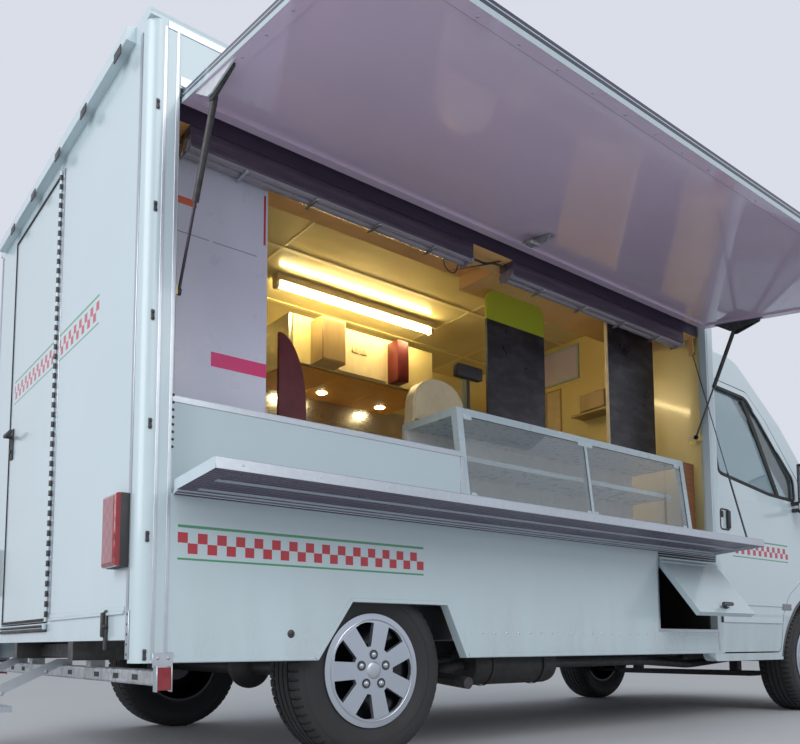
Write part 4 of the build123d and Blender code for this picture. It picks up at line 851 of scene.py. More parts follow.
class FoodTruckColours(PropertyGroup):
    # Body and cab are white paint; the darkening and blue-grey cast in these colours is painted light, the cool dim
    # daylight.
    body: swatch("Body white", "the body panels", (0.520, 0.635, 0.680))
    cab: swatch("Cab white", "the cab", (0.545, 0.648, 0.695))
    hatch: swatch("Hatch lining", "the hatch", (0.62, 0.50, 0.66))
    shelf: swatch("Shelf", "the shelf", (0.56, 0.66, 0.73))
    red: swatch("Chequer red", "the chequer squares", (0.45, 0.02, 0.035))
    green: swatch("Line green", "the thin lines", (0.06, 0.28, 0.13))
    cream: swatch("Lining cream", "the lining inside", (0.88, 0.74, 0.36))


class FoodTruckSizes(PropertyGroup):
    square: FloatProperty(
        name="Chequer square", description="Side of one chequer square", unit="LENGTH", default=0.034, min=0.01,
        max=0.1,
    )
    rivet: FloatProperty(
        name="Rivet radius", description="Radius of a panel rivet", unit="LENGTH", default=0.006, min=0.002, max=0.02,
    )
    tread_pitch: IntProperty(name="Tread blocks", description="Blocks round one tyre", default=64, min=24, max=96)


class FoodTruckLight(PropertyGroup):
    key: FloatProperty(
        name="Key light", description="Power of the large lamp on the serving side", unit="POWER", default=340.0,
        min=0,
    )
    fill: FloatProperty(
        name="Fill light", description="Power of the lamp behind the camera", unit="POWER", default=260.0, min=0,
    )
    world: FloatProperty(
        name="World light", description="Strength of the even light from all round", default=0.55, min=0,
    )
    tube: FloatProperty(name="Tube glow", description="Glow of the lit tube inside", default=54.0, min=0)


class FOODTRUCK_OT_finishes(Operator):
    """Make the shared effects and every finish"""
    bl_idname = "foodtruck.finishes"
    bl_label = "Make finishes"

    def execute(self, context):
        look, size, light = context.scene.food_colours, context.scene.food_sizes, context.scene.food_light
        for make in (orange_peel, road_film, brushed_grain, rubbed_edge, chequer_band, inside_box):
            group = make()
            GROUPS[group.name] = group
        body, cab, cream = tuple(look.body), tuple(look.cab), tuple(look.cream)
        band = {"square": size.square, "square_colour": tuple(look.red), "line_colour": tuple(look.green)}
        side = dict(band, axis=0, start=REAR_X + 0.13, end=REAR_X + 1.15, base=0.735)
        rear = dict(band, axis=1, start=MID_Y - 0.62, end=MID_Y + 0.62, base=1.62)
        door = dict(band, axis=0, start=REAR_X + 3.62, end=REAR_X + 4.30, base=0.98)
        FINISH.update({
            "panel": panel_paint("Body panel white", body, lining=cream),
            "side": panel_paint("Serving side white", body, artwork=side, lining=cream),
            "rear": panel_paint("Rear panel white", body, artwork=rear, lining=cream),
            "post": panel_paint("Corner post white", body, 0.3, 0.4),
            "cab": panel_paint("Cab white", cab, 0.16, 0.5, 0.8),
            "cab_door": panel_paint("Cab door white", cab, 0.16, 0.5, 0.8, artwork=door),
            "hatch": hatch_gloss("Hatch gloss", tuple(look.hatch), (0.022, 0.024, 0.055), shade(body, 0.85)),
            # The shelf's second colour is painted shade for its underside.
            "shelf": shelf_gloss("Shelf gloss", tuple(look.shelf), (0.10, 0.07, 0.13)),
            "lining": laminate("Cream lining", cream, shade(cream, 0.86), 0.4, scale=7.0),
            # The header's second colour is painted shadow on its face towards the serving side.
            "header": header_board("Header board", (0.80, 0.47, 0.20), (0.07, 0.045, 0.09)),
            # The bracket's dark colour is painted shade on the front bracket.
            "bracket": bracket_paint("Bracket paint", (0.62, 0.66, 0.70), (0.018, 0.018, 0.022)),
            "orange": laminate("Warm panel", (0.80, 0.40, 0.08), (0.66, 0.30, 0.06), 0.3, scale=6.0),
            "tan": laminate("Tan cabinet", (0.52, 0.38, 0.19), (0.45, 0.32, 0.15), 0.4, (2.0, 2.0, 0.3)),
            "wine": laminate("Wine red board", (0.16, 0.018, 0.025), (0.11, 0.012, 0.018), 0.35),
            "cream_soft": laminate("Cream cover", (0.72, 0.62, 0.40), (0.62, 0.52, 0.33), 0.35),
            "violet": laminate("Violet pane", (0.62, 0.58, 0.90), (0.80, 0.78, 0.95), 0.2, scale=3.0),
            "tube_cover": tube_cover("Lamp cover", (0.30, 0.27, 0.34)),
            "counter": panel_paint("Counter white", shade(body, 0.96), 0.3, 0.15, 1.1),
            "brown": laminate("Brown board", (0.20, 0.08, 0.035), (0.30, 0.13, 0.06), 0.4, (0.3, 4.0, 4.0)),
            "alloy": brushed_metal("Brushed aluminium", (0.52, 0.56, 0.60), 0.36),
            "case": case_paint("Display white", shade(body, 0.95), (0.86, 0.82, 0.80)),
            "steel": brushed_metal("Kitchen steel", (0.58, 0.58, 0.59), 0.3, 0.0),
            "zinc": zinc_coat("Zinc coat"),
            "chassis": coated_steel("Chassis black", (0.022, 0.022, 0.023)),
            "engine": coated_steel("Engine grey", (0.16, 0.16, 0.165), 0.6),
            "black": coated_steel("Bracket black", (0.018, 0.018, 0.02), 0.4, 0.1),
            "plastic": moulded_plastic("Black plastic", (0.025, 0.025, 0.027)),
            "bumper": bumper_grain("Bumper grey", (0.09, 0.09, 0.095)),
            "rubber": moulded_plastic("Seal rubber", (0.016, 0.016, 0.017), 0.7, 500.0, 0.1),
            "dash": moulded_plastic("Dash grain", (0.05, 0.05, 0.055), 0.62, 1100.0, 0.0),
            "red_lens": lens("Red lens", (0.27, 0.008, 0.014), 120.0),
            "smoke": lens("Smoke lens", (0.10, 0.11, 0.13)),
            "headlamp": headlamp_glass("Headlamp glass"),
            "glass": clear_glass("Window glass", (0.55, 0.66, 0.68)),
            "case_glass": clear_glass("Display glass", (0.93, 0.97, 0.97), 0.01, 0.12),
            "wine_dark": laminate("Dark lamp shell", (0.085, 0.060, 0.095), (0.05, 0.035, 0.06), 0.4, (0.3, 3.0, 3.0)),
            "bumper_strip": moulded_plastic("Strip grey", (0.075, 0.075, 0.08), 0.6, 700.0, 0.4),
            "mirror": finish("Mirror glass", (0.86, 0.88, 0.90), 0.03, 1.0).material,
            # The strut and stay rods are chrome; their near-black colour is painted shade, as they lie in shadow.
            "chrome": brushed_metal("Dark rod", (0.075, 0.07, 0.085), 0.25, 0.0),
            "wheel": wheel_silver("Wheel silver", (0.50, 0.55, 0.62)),
            "tyre": tyre_rubber("Tyre rubber"),
            "cloth": woven_cloth("Cushion cloth", (0.03, 0.035, 0.05), (0.09, 0.10, 0.13)),
            "menu": menu_face("Blank sign faces"),
            "glow": lamp_glow("Lit tube", (1.0, 0.82, 0.42), light.tube),
            "tread": tyre_rubber("Tyre tread"),
            "floor": moulded_plastic("Cab floor rubber", (0.012, 0.012, 0.013), 0.75, 400.0, 0.6),
        })
        return {"FINISHED"}


class FOODTRUCK_OT_nodes(Operator):
    """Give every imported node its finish"""
    bl_idname = "foodtruck.nodes"
    bl_label = "Finish the packed nodes"

    def execute(self, context):
        plan = {
            "panel": ("body_roof", "body_wall_left", "body_wall_front", "locker_flap"),
            "side": ("body_wall_right",),
            "rear": ("body_wall_rear", "rear_door"),
            "post": ("corner_posts",),
            "cab": ("cab_shell", "bonnet"),
            "cab_door": ("cab_door_left", "cab_door_right"),
            "hatch": ("hatch_panel",),
            "shelf": ("counter_shelf",),
            "header": ("header_box",),
            "brown": ("case_end_board",),
            "counter": ("counter_fascia",),
            "floor": ("cab_floor",),
            "alloy": ("rear_step", "body_floor"),
            "case": ("display_case_frame",),
            "steel": ("kitchen_units",),
            "zinc": ("rear_beam",),
            "chassis": ("chassis_frame", "rear_axle", "front_axle", "knuckle_left", "knuckle_right"),
            "engine": ("engine_block",),
            "bracket": ("hatch_brackets",),
            "black": ("hatch_strut_rear_cylinder", "hatch_strut_front_cylinder", "shelf_stay_cylinder", "locker_box"),
            # Rods in shadow: the near-black rod colour is painted shade.
            "chrome": ("hatch_strut_rear_rod", "hatch_strut_front_rod", "shelf_stay_rod"),
            "plastic": ("grille", "mirror_left", "mirror_right"),
            "bumper": ("front_bumper",),
            "dash": ("dashboard", "steering_wheel"),
            "red_lens": ("tail_lamps",),
            "headlamp": ("headlamps",),
            "glass": ("windscreen", "door_glass_left", "door_glass_right"),
            "case_glass": ("display_case_glass",),
            "cloth": ("seat_pads",),
            "menu": ("sign_boards",),
            "tube_cover": ("lamp_battens",),
        }
        for key, nodes in plan.items():
            for node in nodes:
                dress(node, key)
        for end in ("rear", "front"):
            for side in ("left", "right"):
                dress(f"tyre_{end}_{side}", "tyre")
                dress(f"wheel_{end}_{side}", "wheel")
        return {"FINISHED"}


# Pieces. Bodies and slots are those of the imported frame. OUT is each side's outward direction, ARCH the wheel
# arch's corners along and up. SIDE_Y is half the box's width, WALL_X the inner face of its front wall,
# AXLE_Z the height of the axles, and AXLES each axle's place along and a tyre's place across.

SIDE_Y = 1.06
WALL_X = 3.3498
AXLE_Z = 0.345
AXLES = {"rear": (0.947, 0.8955), "front": (4.627, 0.8575)}
OUT = {-1: (0, -1, 0), 1: (0, 1, 0)}
ARCH = ((0.660, 0.388), (0.808, 0.600), (1.272, 0.600), (1.376, 0.388))


class FOODTRUCK_OT_body_trim(Operator):
    """Edge profiles, rivets and fasteners of the box body"""
    bl_idname = "foodtruck.body_trim"
    bl_label = "Trim the box body"

    def execute(self, context):
        r = context.scene.food_sizes.rivet
        white, metal, dark, heads = [], [], [], []
        for side in (-1, 1):
            y, up = side * SIDE_Y, OUT[side]
            arch = [(x, y, z) for x, z in ARCH]
            white.append(strip(arch, 0.014, 0.004, up, lean=0.5 * side))
            for x0, x1 in ((0.062, 0.644), (1.392, 3.298)):
                white.append(strip([(x0, y, 0.398), (x1, y, 0.398)], 0.016, 0.003, up))
            for x in (0.054, 0.096):
                metal.append(strip([(x, y, 0.40), (x, y, 2.49)], 0.010, 0.0022, up))
            metal.append(strip([(0.06, y, 2.500), (3.30, y, 2.500)], 0.026, 0.0025, up))
            metal.append(strip([(3.304, y, 0.40), (3.304, y, 2.48)], 0.012, 0.0022, up))
            heads.append(studs(row((1.40, y, 0.49), (3.27, y, 0.49), 27), r * 0.8, 0.0018, up))
            for z in (2.207, 1.856, 1.493, 1.139, 0.780, 0.414):
                pad = [(0.031, side * 1.0592, z - 0.017), (0.031, side * 1.0592, z + 0.017)]
                ends = [(0.031, side * 1.0612, z - 0.010), (0.031, side * 1.0612, z + 0.010)]
                dark += [strip(pad, 0.011, 0.0025, up), studs(ends, 0.007, 0.004, up)]
        for y0, y1 in ((-1.0, -0.98), (0.98, 1.0)):
            metal.append(bar(-0.0025, 0, y0, y1, 0.462, 2.48))
        metal.append(strip([(0.106, -SIDE_Y, 2.320), (3.284, -SIDE_Y, 2.320)], 0.034, 0.0025, OUT[-1]))
        metal.append(studs(row((0.15, -1.0625, 2.320), (3.24, -1.0625, 2.320), 32), 0.004, 0.0015, OUT[-1]))
        dark.append(studs([(0.548, -SIDE_Y, 0.481)], 0.015, 0.004, OUT[-1], 16))
        piece("skirt_rivets", heads, "steel")
        piece("body_edge_strips", white, "post")
        piece("body_metal_strips", metal, "alloy")
        piece("body_fasteners", dark, "black")
        slats = [bar(2.742, 3.294, -1.0645, -1.060, z, z + 0.009, 0.002) for z in (0.8935, 0.9065, 0.9195)]
        piece("locker_louvres", slats, "plastic")
        frame_path = [
            (x, -SIDE_Y, z) for x, z in ((2.736, 0.511), (2.736, 0.8905), (3.297, 0.8905), (3.297, 0.511))
        ]
        piece("locker_frame", [strip(frame_path, 0.014, 0.0025, OUT[-1], closed=True)], "alloy")
        grip = [
            bar(2.9695, 3.0635, -1.0955, -1.0785, 0.5545, 0.5735, 0.006, 2),
            bar(3.0025, 3.0305, -1.0800, -1.0605, 0.5505, 0.5775, 0.003),
        ]
        piece("locker_grip", turned(grip, "locker_flap_hinge"), "plastic", body="locker_lid")
        latch = [
            bar(3.334, 3.350, -1.068, -1.060, 0.560, 0.700, 0.003),
            bar(3.331, 3.353, -1.076, -1.066, 0.600, 0.640, 0.004),
            bar(3.337, 3.347, -1.079, -1.066, 0.648, 0.690, 0.003),
        ]
        piece("locker_latch", latch, "plastic")
        dashes = studs(row((0.1055, -1.0605, 1.075), (0.1055, -1.0605, 1.245), 8), 0.005, 0.0015, OUT[-1])
        piece("counter_dashes", [dashes], "plastic")
        return {"FINISHED"}


class FOODTRUCK_OT_rear_fittings(Operator):
    """Hinge leaves, latches, lamp housings, beam slots, step ribs at the rear"""
    bl_idname = "foodtruck.rear_fittings"
    bl_label = "Fit the rear"

    def execute(self, context):
        back = (-1, 0, 0)
        leaf = [bar(-0.0025, 0, -0.128, -0.0935, 0.541, 2.434)]
        leaf.append(studs(row((-0.0025, -0.113, 0.58), (-0.0025, -0.113, 2.40), 26), 0.004, 0.002, back))
        piece("door_hinge_leaf", leaf, "alloy")
        collar = lathe(
            [(0.0066, -0.012), (0.0072, -0.010), (0.0072, 0.010), (0.0066, 0.012)], (-0.006, -0.086, 0), (0, 0, 1), 12,
        )
        knuckles = repeated(collar, row((0, 0, 0.570), (0, 0, 2.405), 46))
        piece("door_hinge_knuckles", [knuckles], "black", body="rear_entry_door")
        knob = lathe(
            [(0.0, -0.016), (0.007, -0.014), (0.009, -0.004), (0.009, 0.008), (0.0, 0.009)], (-0.010, -0.086, 0.524),
            (0, 0, 1), 20,
        )
        piece("hinge_knob", [knob], "post")
        handle = [
            bar(-0.006, 0, 0.600, 0.648, 1.330, 1.480, 0.004),
            tube([(-0.004, 0.624, 1.440), (-0.034, 0.624, 1.440)], 0.009),
            bar(-0.042, -0.030, 0.500, 0.634, 1.431, 1.449, 0.005, 2),
            tube([(-0.004, 0.624, 1.370), (-0.012, 0.624, 1.370)], 0.010),
        ]
        piece("door_handle", handle, "plastic", body="rear_entry_door")
        clips = [
            bar(-0.0375, -0.0330, y - 0.034, y + 0.034, 2.462, 2.498, 0.004, 2)
            for y in (-0.846, -0.467, -0.122, 0.26, 0.64)
        ]
        piece("gutter_clips", clips, "black")
        seal = [(-0.001, -0.074, 0.549), (-0.001, -0.074, 2.426), (-0.001, 0.678, 2.426), (-0.001, 0.678, 0.549)]
        piece("door_seal", [strip(seal, 0.012, 0.003, back, closed=True)], "rubber", body="rear_entry_door")
        sill = [bar(-0.012, 0, -0.086, 0.690, 0.500, 0.514, 0.003), bar(-0.009, 0, -0.086, 0.690, 0.519, 0.529, 0.003)]
        piece("door_sill", sill, "plastic")
        drip = [
            bar(-0.008, 0, -0.965, -0.130, 0.541, 0.551, 0.002), bar(-0.003, 0, -0.965, -0.130, 0.551, 0.566, 0.001),
        ]
        piece("rear_drip_strip", drip, "post")
        latch = [
            bar(-0.010, 0, -0.816, -0.794, 0.428, 0.560, 0.004),
            bar(-0.022, -0.008, -0.811, -0.799, 0.470, 0.552, 0.004),
            bar(-0.018, -0.004, -0.822, -0.788, 0.500, 0.512, 0.003),
        ]
        piece("rear_latch", latch, "plastic")
        foot = [bar(-0.0045, 0.0, -1.014, -0.988, 0.400, 0.552, 0.001)]
        piece("post_foot_plate", foot, "alloy")
        holes = studs(row((-0.0045, -1.001, 0.415), (-0.0045, -1.001, 0.540), 5), 0.005, 0.0015, back)
        piece("post_foot_bolts", [holes], "black")
        shells = [bar(-0.032, 0, y, y + 0.127, 0.6885, 0.9235, 0.004, 2) for y in (-0.9955, 0.8685)]
        piece("tail_lamp_shells", shells, "plastic")
        cheeks, bolts = [], []
        for side in (-1, 1):
            cheeks.append(bar(0.056, 0.122, side * 1.0600, side * 1.0635, 0.374, 0.420, 0.001))
            cheeks += [
                bar(x, x + 0.0035, side * 1.055, side * 1.0845, 0.300, 0.380, 0.001) for x in (0.062, 0.1095)
            ]
            heads = [(x, side * 1.0635, 0.404) for x in (0.072, 0.106)]
            bolts.append(studs(heads, 0.007, 0.004, OUT[side], 6))
        piece("marker_brackets", cheeks, "alloy")
        piece("marker_bolts", bolts, "zinc", smooth=30)
        slot_bars = [
            bar(0.0610, 0.0622, side * y - 0.026, side * y + 0.026, 0.333, 0.351, 0.0005)
            for side in (-1, 1)
            for y in (0.20, 0.52, 0.72, 0.90)
        ]
        piece("beam_slots", slot_bars, "rubber")
        rib = bar(0, 0.005, -0.088, 0.588, 0.2115, 0.2150, 0.001)
        ribs = repeated(rib, row((-0.344, 0, 0), (-0.130, 0, 0), 16))
        piece("step_ribs", [ribs], "alloy")
        heads = studs(
            [(-0.30, -0.104, 0.204), (-0.16, -0.104, 0.262), (0.0, -0.104, 0.342)], 0.009, 0.005, (0, -1, 0), 6,
        )
        piece("step_bolts", [heads], "zinc", smooth=30)
        return {"FINISHED"}


class FOODTRUCK_OT_hatch_trim(Operator):
    """The hatch's catches and the shelf's edge and fasteners"""
    bl_idname = "foodtruck.hatch_trim"
    bl_label = "Trim the hatch and the shelf"

    def execute(self, context):
        # Drawn with the hatch closed, its inner face at -1.020, then raised.
        catch = [
            prism([(-1.0200, 2.225), (-1.0200, 2.060), (-0.990, 2.075), (-0.985, 2.170)], "x", 1.690, 1.693),
            bar(1.690, 1.728, -1.0230, -1.0200, 2.060, 2.225, 0.001),
            bar(1.640, 1.693, -1.0, -0.985, 2.120, 2.160, 0.003),
        ]
        piece("hatch_catch", turned(catch, "hatch_hinge"), "zinc", "hatch")
        # Dark plates beside the brackets: painted shadow standing for each bracket's flange in shade.
        flange_shadow_outline = [
            (-1.2410, 2.1560), (-1.2530, 2.1900), (-1.3900, 2.2010), (-1.4050, 2.1960), (-1.4000, 2.1800),
            (-1.2700, 2.1500),
        ]
        for name, x in (("rear", 0.1265), ("front", 3.2495)):
            piece(f"flange_shadow_plate_{name}", [prism(flange_shadow_outline, "x", x, x + 0.010)], "black", body="hatch")
        lines = [
            bar(x0, x1, -1.0245, -1.020, z0, z1, 0.001)
            for x0, x1, z0, z1 in ((0.13, 3.24, 1.243, 1.251), (0.120, 0.128, 1.25, 2.22), (3.243, 3.251, 1.25, 2.22))
        ]
        piece("hatch_seal", turned(lines, "hatch_hinge"), "rubber", body="hatch")
        screws = [
            studs(row((0.18, -1.020, 1.262), (3.20, -1.020, 1.262), 20), 0.005, 0.002, (0, 1, 0)),
            studs(row((0.137, -1.020, 1.30), (0.137, -1.020, 2.2), 7), 0.005, 0.002, (0, 1, 0)),
            studs(row((3.236, -1.020, 1.30), (3.236, -1.020, 2.2), 7), 0.005, 0.002, (0, 1, 0)),
        ]
        piece("hatch_screws", turned(screws, "hatch_hinge"), "alloy", body="hatch")
        edge = [
            bar(0.112, 3.259, -1.060, -1.0245, 1.2262, 1.2282, 0.0008),
            bar(0.112, 3.259, -1.0245, -1.0225, 1.196, 1.2262, 0.0008),
        ]
        piece("shelf_edge", turned(edge, "counter_shelf_hinge"), "alloy", body="shelf")
        heads = [studs(row((0.16, -1.0245, 0.952), (3.22, -1.0245, 0.952), 24), 0.0045, 0.002, (0, 1, 0)),
                 studs(row((0.20, -1.042, 1.2282), (3.20, -1.042, 1.2282), 12), 0.004, 0.0012, (0, 0, 1))]
        piece("shelf_screws", turned(heads, "counter_shelf_hinge"), "zinc", body="shelf")
        return {"FINISHED"}


class FOODTRUCK_OT_lamps_inside(Operator):
    """Tubular lamps in the opening, the ceiling's lit tube and the hood's spots"""
    bl_idname = "foodtruck.lamps_inside"
    bl_label = "Build the lamps inside"

    def execute(self, context):
        for name, x0, x1 in (("rear", 0.165, 1.500), ("front", 1.750, 3.150)):
            shell = [
                bar(x0, x1, -1.007, -0.919, 2.186, 2.220, 0.004, 2), bar(x0, x1, -1.007, -0.996, 2.150, 2.190, 0.004),
                bar(x0, x1, -0.930, -0.919, 2.150, 2.190, 0.004),
            ]
            piece(f"batten_shell_{name}", shell, "wine_dark")
            covers = [tube([(x0 + 0.01, y, 2.158), (x1 - 0.01, y, 2.158)], 0.0185, 20) for y in (-0.983, -0.943)]
            obj = piece(f"batten_tubes_{name}", covers, "tube_cover")
            if name == "rear":
                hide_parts("lamp_battens")
            ends = []
            for x in (x0 + 0.004, x1 - 0.004):
                ends.append(bar(x - 0.004, x + 0.004, -1.0065, -0.9195, 2.136, 2.186, 0.003))
                ends += [
                    lathe([(0.0, -0.012), (0.021, -0.011), (0.021, 0.011), (0.0, 0.012)], (x, y, 2.158), (1, 0, 0), 20)
                    for y in (-0.983, -0.943)
                ]
            piece(f"batten_ends_{name}", ends, "tube_cover")
            clips = []
            for x in np.linspace(x0 + 0.22, x1 - 0.22, 4):
                clips.append(bar(x - 0.006, x + 0.006, -1.0075, -0.9185, 2.133, 2.139, 0.002))
            piece(f"batten_clips_{name}", clips, "alloy")
        lead = rounded_path(
            [(1.38, -0.93, 2.190), (1.40, -0.925, 2.105), (1.46, -0.925, 2.095), (1.495, -0.925, 2.185)], 0.03, 8,
        )
        link = rounded_path(
            [(1.530, -0.963, 2.178), (1.62, -0.963, 2.178), (1.66, -0.963, 2.196), (1.752, -0.963, 2.200)], 0.03, 6,
        )
        piece("batten_leads", [tube(lead, 0.003, 8, (0, 1, 0)), tube(link, 0.005, 10, (0, 1, 0))], "plastic")
        piece("batten_plug", [bar(1.500, 1.532, -0.974, -0.952, 2.167, 2.189, 0.005, 2)], "cream_soft")
        fitting = [
            bar(1.240, 2.390, 0.286, 0.346, 2.468, 2.509, 0.004, 2),
            bar(1.236, 1.262, 0.294, 0.338, 2.425, 2.470, 0.004), bar(2.368, 2.394, 0.294, 0.338, 2.425, 2.470, 0.004),
        ]
        piece("ceiling_lamp_body", fitting, "cream_soft")
        piece("ceiling_lamp_tube", [tube([(1.262, 0.316, 2.446), (2.368, 0.316, 2.446)], 0.014, 20)], "glow")
        spots = [
            lathe([(0.0, 0.001), (0.030, 0.002), (0.034, 0.006), (0.0, 0.006)], (x, y, 2.086), (0, 0, 1), 24)
            for x, y in ((1.71, 0.89), (1.90, 0.86), (2.40, 0.89))
        ]
        piece("hood_spots", spots, "glow")
        return {"FINISHED"}


class FOODTRUCK_OT_kitchen(Operator):
    """Cabinets, hood panels, seams, boards and the sign frame seen through the opening"""
    bl_idname = "foodtruck.kitchen"
    bl_label = "Fit the kitchen"

    def execute(self, context):
        seams = [bar(x, x + 0.014, -0.52, 1.018, 2.5065, 2.5098, 0.001) for x in (0.62, 1.12, 2.46, 2.96)]
        seams += [bar(0.06, 3.34, y, y + 0.03, 2.5045, 2.5098, 0.001) for y in (0.02, 0.62)]
        piece("ceiling_seams", seams, "lining")
        under = [bar(1.445, 2.545, 0.505, 1.015, 2.0925, 2.0995, 0.002)]
        under += [bar(x, x + 0.006, 0.52, 1.0, 2.0905, 2.0935, 0.001) for x in (1.80, 2.17)]
        piece("hood_underside", under, "orange")
        front = [bar(1.462, 2.540, 0.486, 0.499, 2.104, 2.396, 0.003)]
        piece("hood_front", front, "lining")
        piece(
            "hood_cabinet",
            [
                bar(1.580, 1.750, 0.360, 0.486, 2.106, 2.372, 0.004, 2),
                bar(1.590, 1.740, 0.354, 0.361, 2.116, 2.362, 0.002),
            ],
            "tan",
        )
        plate = [bar(1.770, 2.140, 0.470, 0.486, 2.110, 2.360, 0.003)]
        plate += [bar(x, x + 0.05, 0.462, 0.471, 2.245, 2.295, 0.004, 2) for x in (1.87, 1.93)]
        piece("hood_socket_panel", plate, "cream_soft")
        holes = [
            lathe([(0.0, -0.001), (0.014, -0.001), (0.014, 0.002), (0.0, 0.002)], (x, 0.4625, 2.27), (0, 1, 0), 16)
            for x in (1.895, 1.955)
        ]
        piece("socket_cups", holes, "tan")
        piece("hood_red_box", [bar(2.160, 2.250, 0.380, 0.486, 2.106, 2.370, 0.004, 2)], "wine")
        # A quarter-round board standing on the counter's inner edge.
        t = np.linspace(0, math.pi / 2, 14)
        arc = np.c_[0.72 + 0.13 * np.sin(t), 1.43 + 0.305 * np.cos(t)]
        outline = np.concatenate([[(0.72, 1.2622)], arc, [(0.85, 1.2622)]])
        piece("curved_guard", [prism(outline, "y", -0.657, -0.641)], "wine")
        lid_t = np.linspace(0, math.pi, 18)
        lid = np.c_[1.60 - 0.165 * np.cos(lid_t), 1.476 + 0.05 + 0.185 * np.sin(lid_t) ** 0.7]
        shape = np.concatenate([[(1.435, 1.476)], lid, [(1.765, 1.476)]])
        shell = [prism(shape, "y", -0.652, -0.592), bar(1.430, 1.770, -0.656, -0.588, 1.476, 1.500, 0.004)]
        shell += [prism(shape * (0.94, 0.985) + (0.096, 0.0225), "y", -0.656, -0.650)]
        piece("warmer_cover", shell, "cream_soft")
        foot = [(0.0, 0.0), (0.035, 0.0), (0.034, 0.006), (0.010, 0.010), (0.0, 0.010)]
        pole = [
            tube([(1.83, -0.610, 1.475), (1.83, -0.610, 1.780)], 0.008, 12, (0, 1, 0)),
            lathe(foot, (1.83, -0.61, 1.475), (0, 0, 1), 24),
            bar(1.745, 1.915, -0.630, -0.590, 1.775, 1.840, 0.006, 2),
        ]
        piece("price_display", pole, "plastic")
        frame_path = [(WALL_X, y, z) for y, z in ((0.070, 1.860), (0.070, 2.200), (0.195, 2.200), (0.195, 1.860))]
        piece("wall_sign_frame", [strip(frame_path, 0.012, 0.008, (-1, 0, 0), closed=True)], "tan")
        piece("wall_sign_face", [bar(3.3455, WALL_X, 0.072, 0.193, 1.862, 2.198, 0.001)], "cream_soft")
        pane_path = [(WALL_X, -0.09, 2.245), (WALL_X, -0.09, 2.47), (WALL_X, 0.225, 2.47), (WALL_X, 0.225, 2.245)]
        piece("wall_window_frame", [strip(pane_path, 0.016, 0.012, (-1, 0, 0), closed=True)], "post")
        piece("wall_window_pane", [bar(3.3455, WALL_X, -0.088, 0.223, 2.247, 2.468, 0.001)], "violet")
        shelf = [
            bar(3.22, 3.349, -0.46, -0.12, 1.93, 1.945, 0.002), bar(3.20, 3.349, -0.47, -0.46, 1.80, 2.30, 0.002),
            bar(3.21, 3.345, -0.40, -0.20, 1.9455, 2.06, 0.006),
        ]
        piece("front_wall_shelf", shelf, "tan")
        return {"FINISHED"}


class FOODTRUCK_OT_counter_trim(Operator):
    """Edges of the counter and the display case's rails and clips"""
    bl_idname = "foodtruck.counter_trim"
    bl_label = "Trim the counter and the case"

    def execute(self, context):
        edge = [
            bar(0.112, 1.414, -1.0145, -1.0118, 1.2385, 1.2600, 0.0008),
            bar(1.398, 1.414, -1.0145, -1.0118, 1.06, 1.238, 0.0008),
        ]
        edge += [bar(0.112, 1.40, -0.664, -0.641, 1.2622, 1.2662, 0.001)]
        piece("counter_edge", edge, "alloy")
        lean = 0.050 / 0.425

        def front(z):
            return -1.0085 + lean * (z - 1.05)

        clips = [
            bar(x, x + 0.05, front(1.425) - 0.003, front(1.425) + 0.006, 1.425, 1.425 + 0.026, 0.003, 2)
            for x in (1.462, 2.238, 2.300, 3.068)
        ]
        clips += [
            bar(x, x + 0.03, front(1.078) - 0.003, front(1.078) + 0.006, 1.074, 1.094, 0.003)
            for x in (1.470, 2.250, 2.305, 3.080)
        ]
        piece("pane_clips", clips, "post")
        seal = []
        for x0, x1 in ((1.4575, 2.2835), (2.3005, 3.1265)):
            corners = [(x, front(z) + 0.0035, z) for x, z in ((x0, 1.0835), (x0, 1.4415), (x1, 1.4415), (x1, 1.0835))]
            seal.append(strip(corners, 0.005, 0.004, (0, -1, 0), closed=True))
        piece("pane_seals", seal, "rubber")
        rail = [
            bar(1.462, 3.122, -0.905, -0.899, 1.258, 1.282, 0.002),
            bar(1.47, 3.12, -0.80, -0.795, 1.0848, 1.0900, 0.001),
        ]
        piece("case_rails", rail, "case")
        piece("board_edge", [bar(2.7120, 2.7195, -0.803, -0.783, 1.4755, 2.2755, 0.001)], "cream_soft")
        return {"FINISHED"}


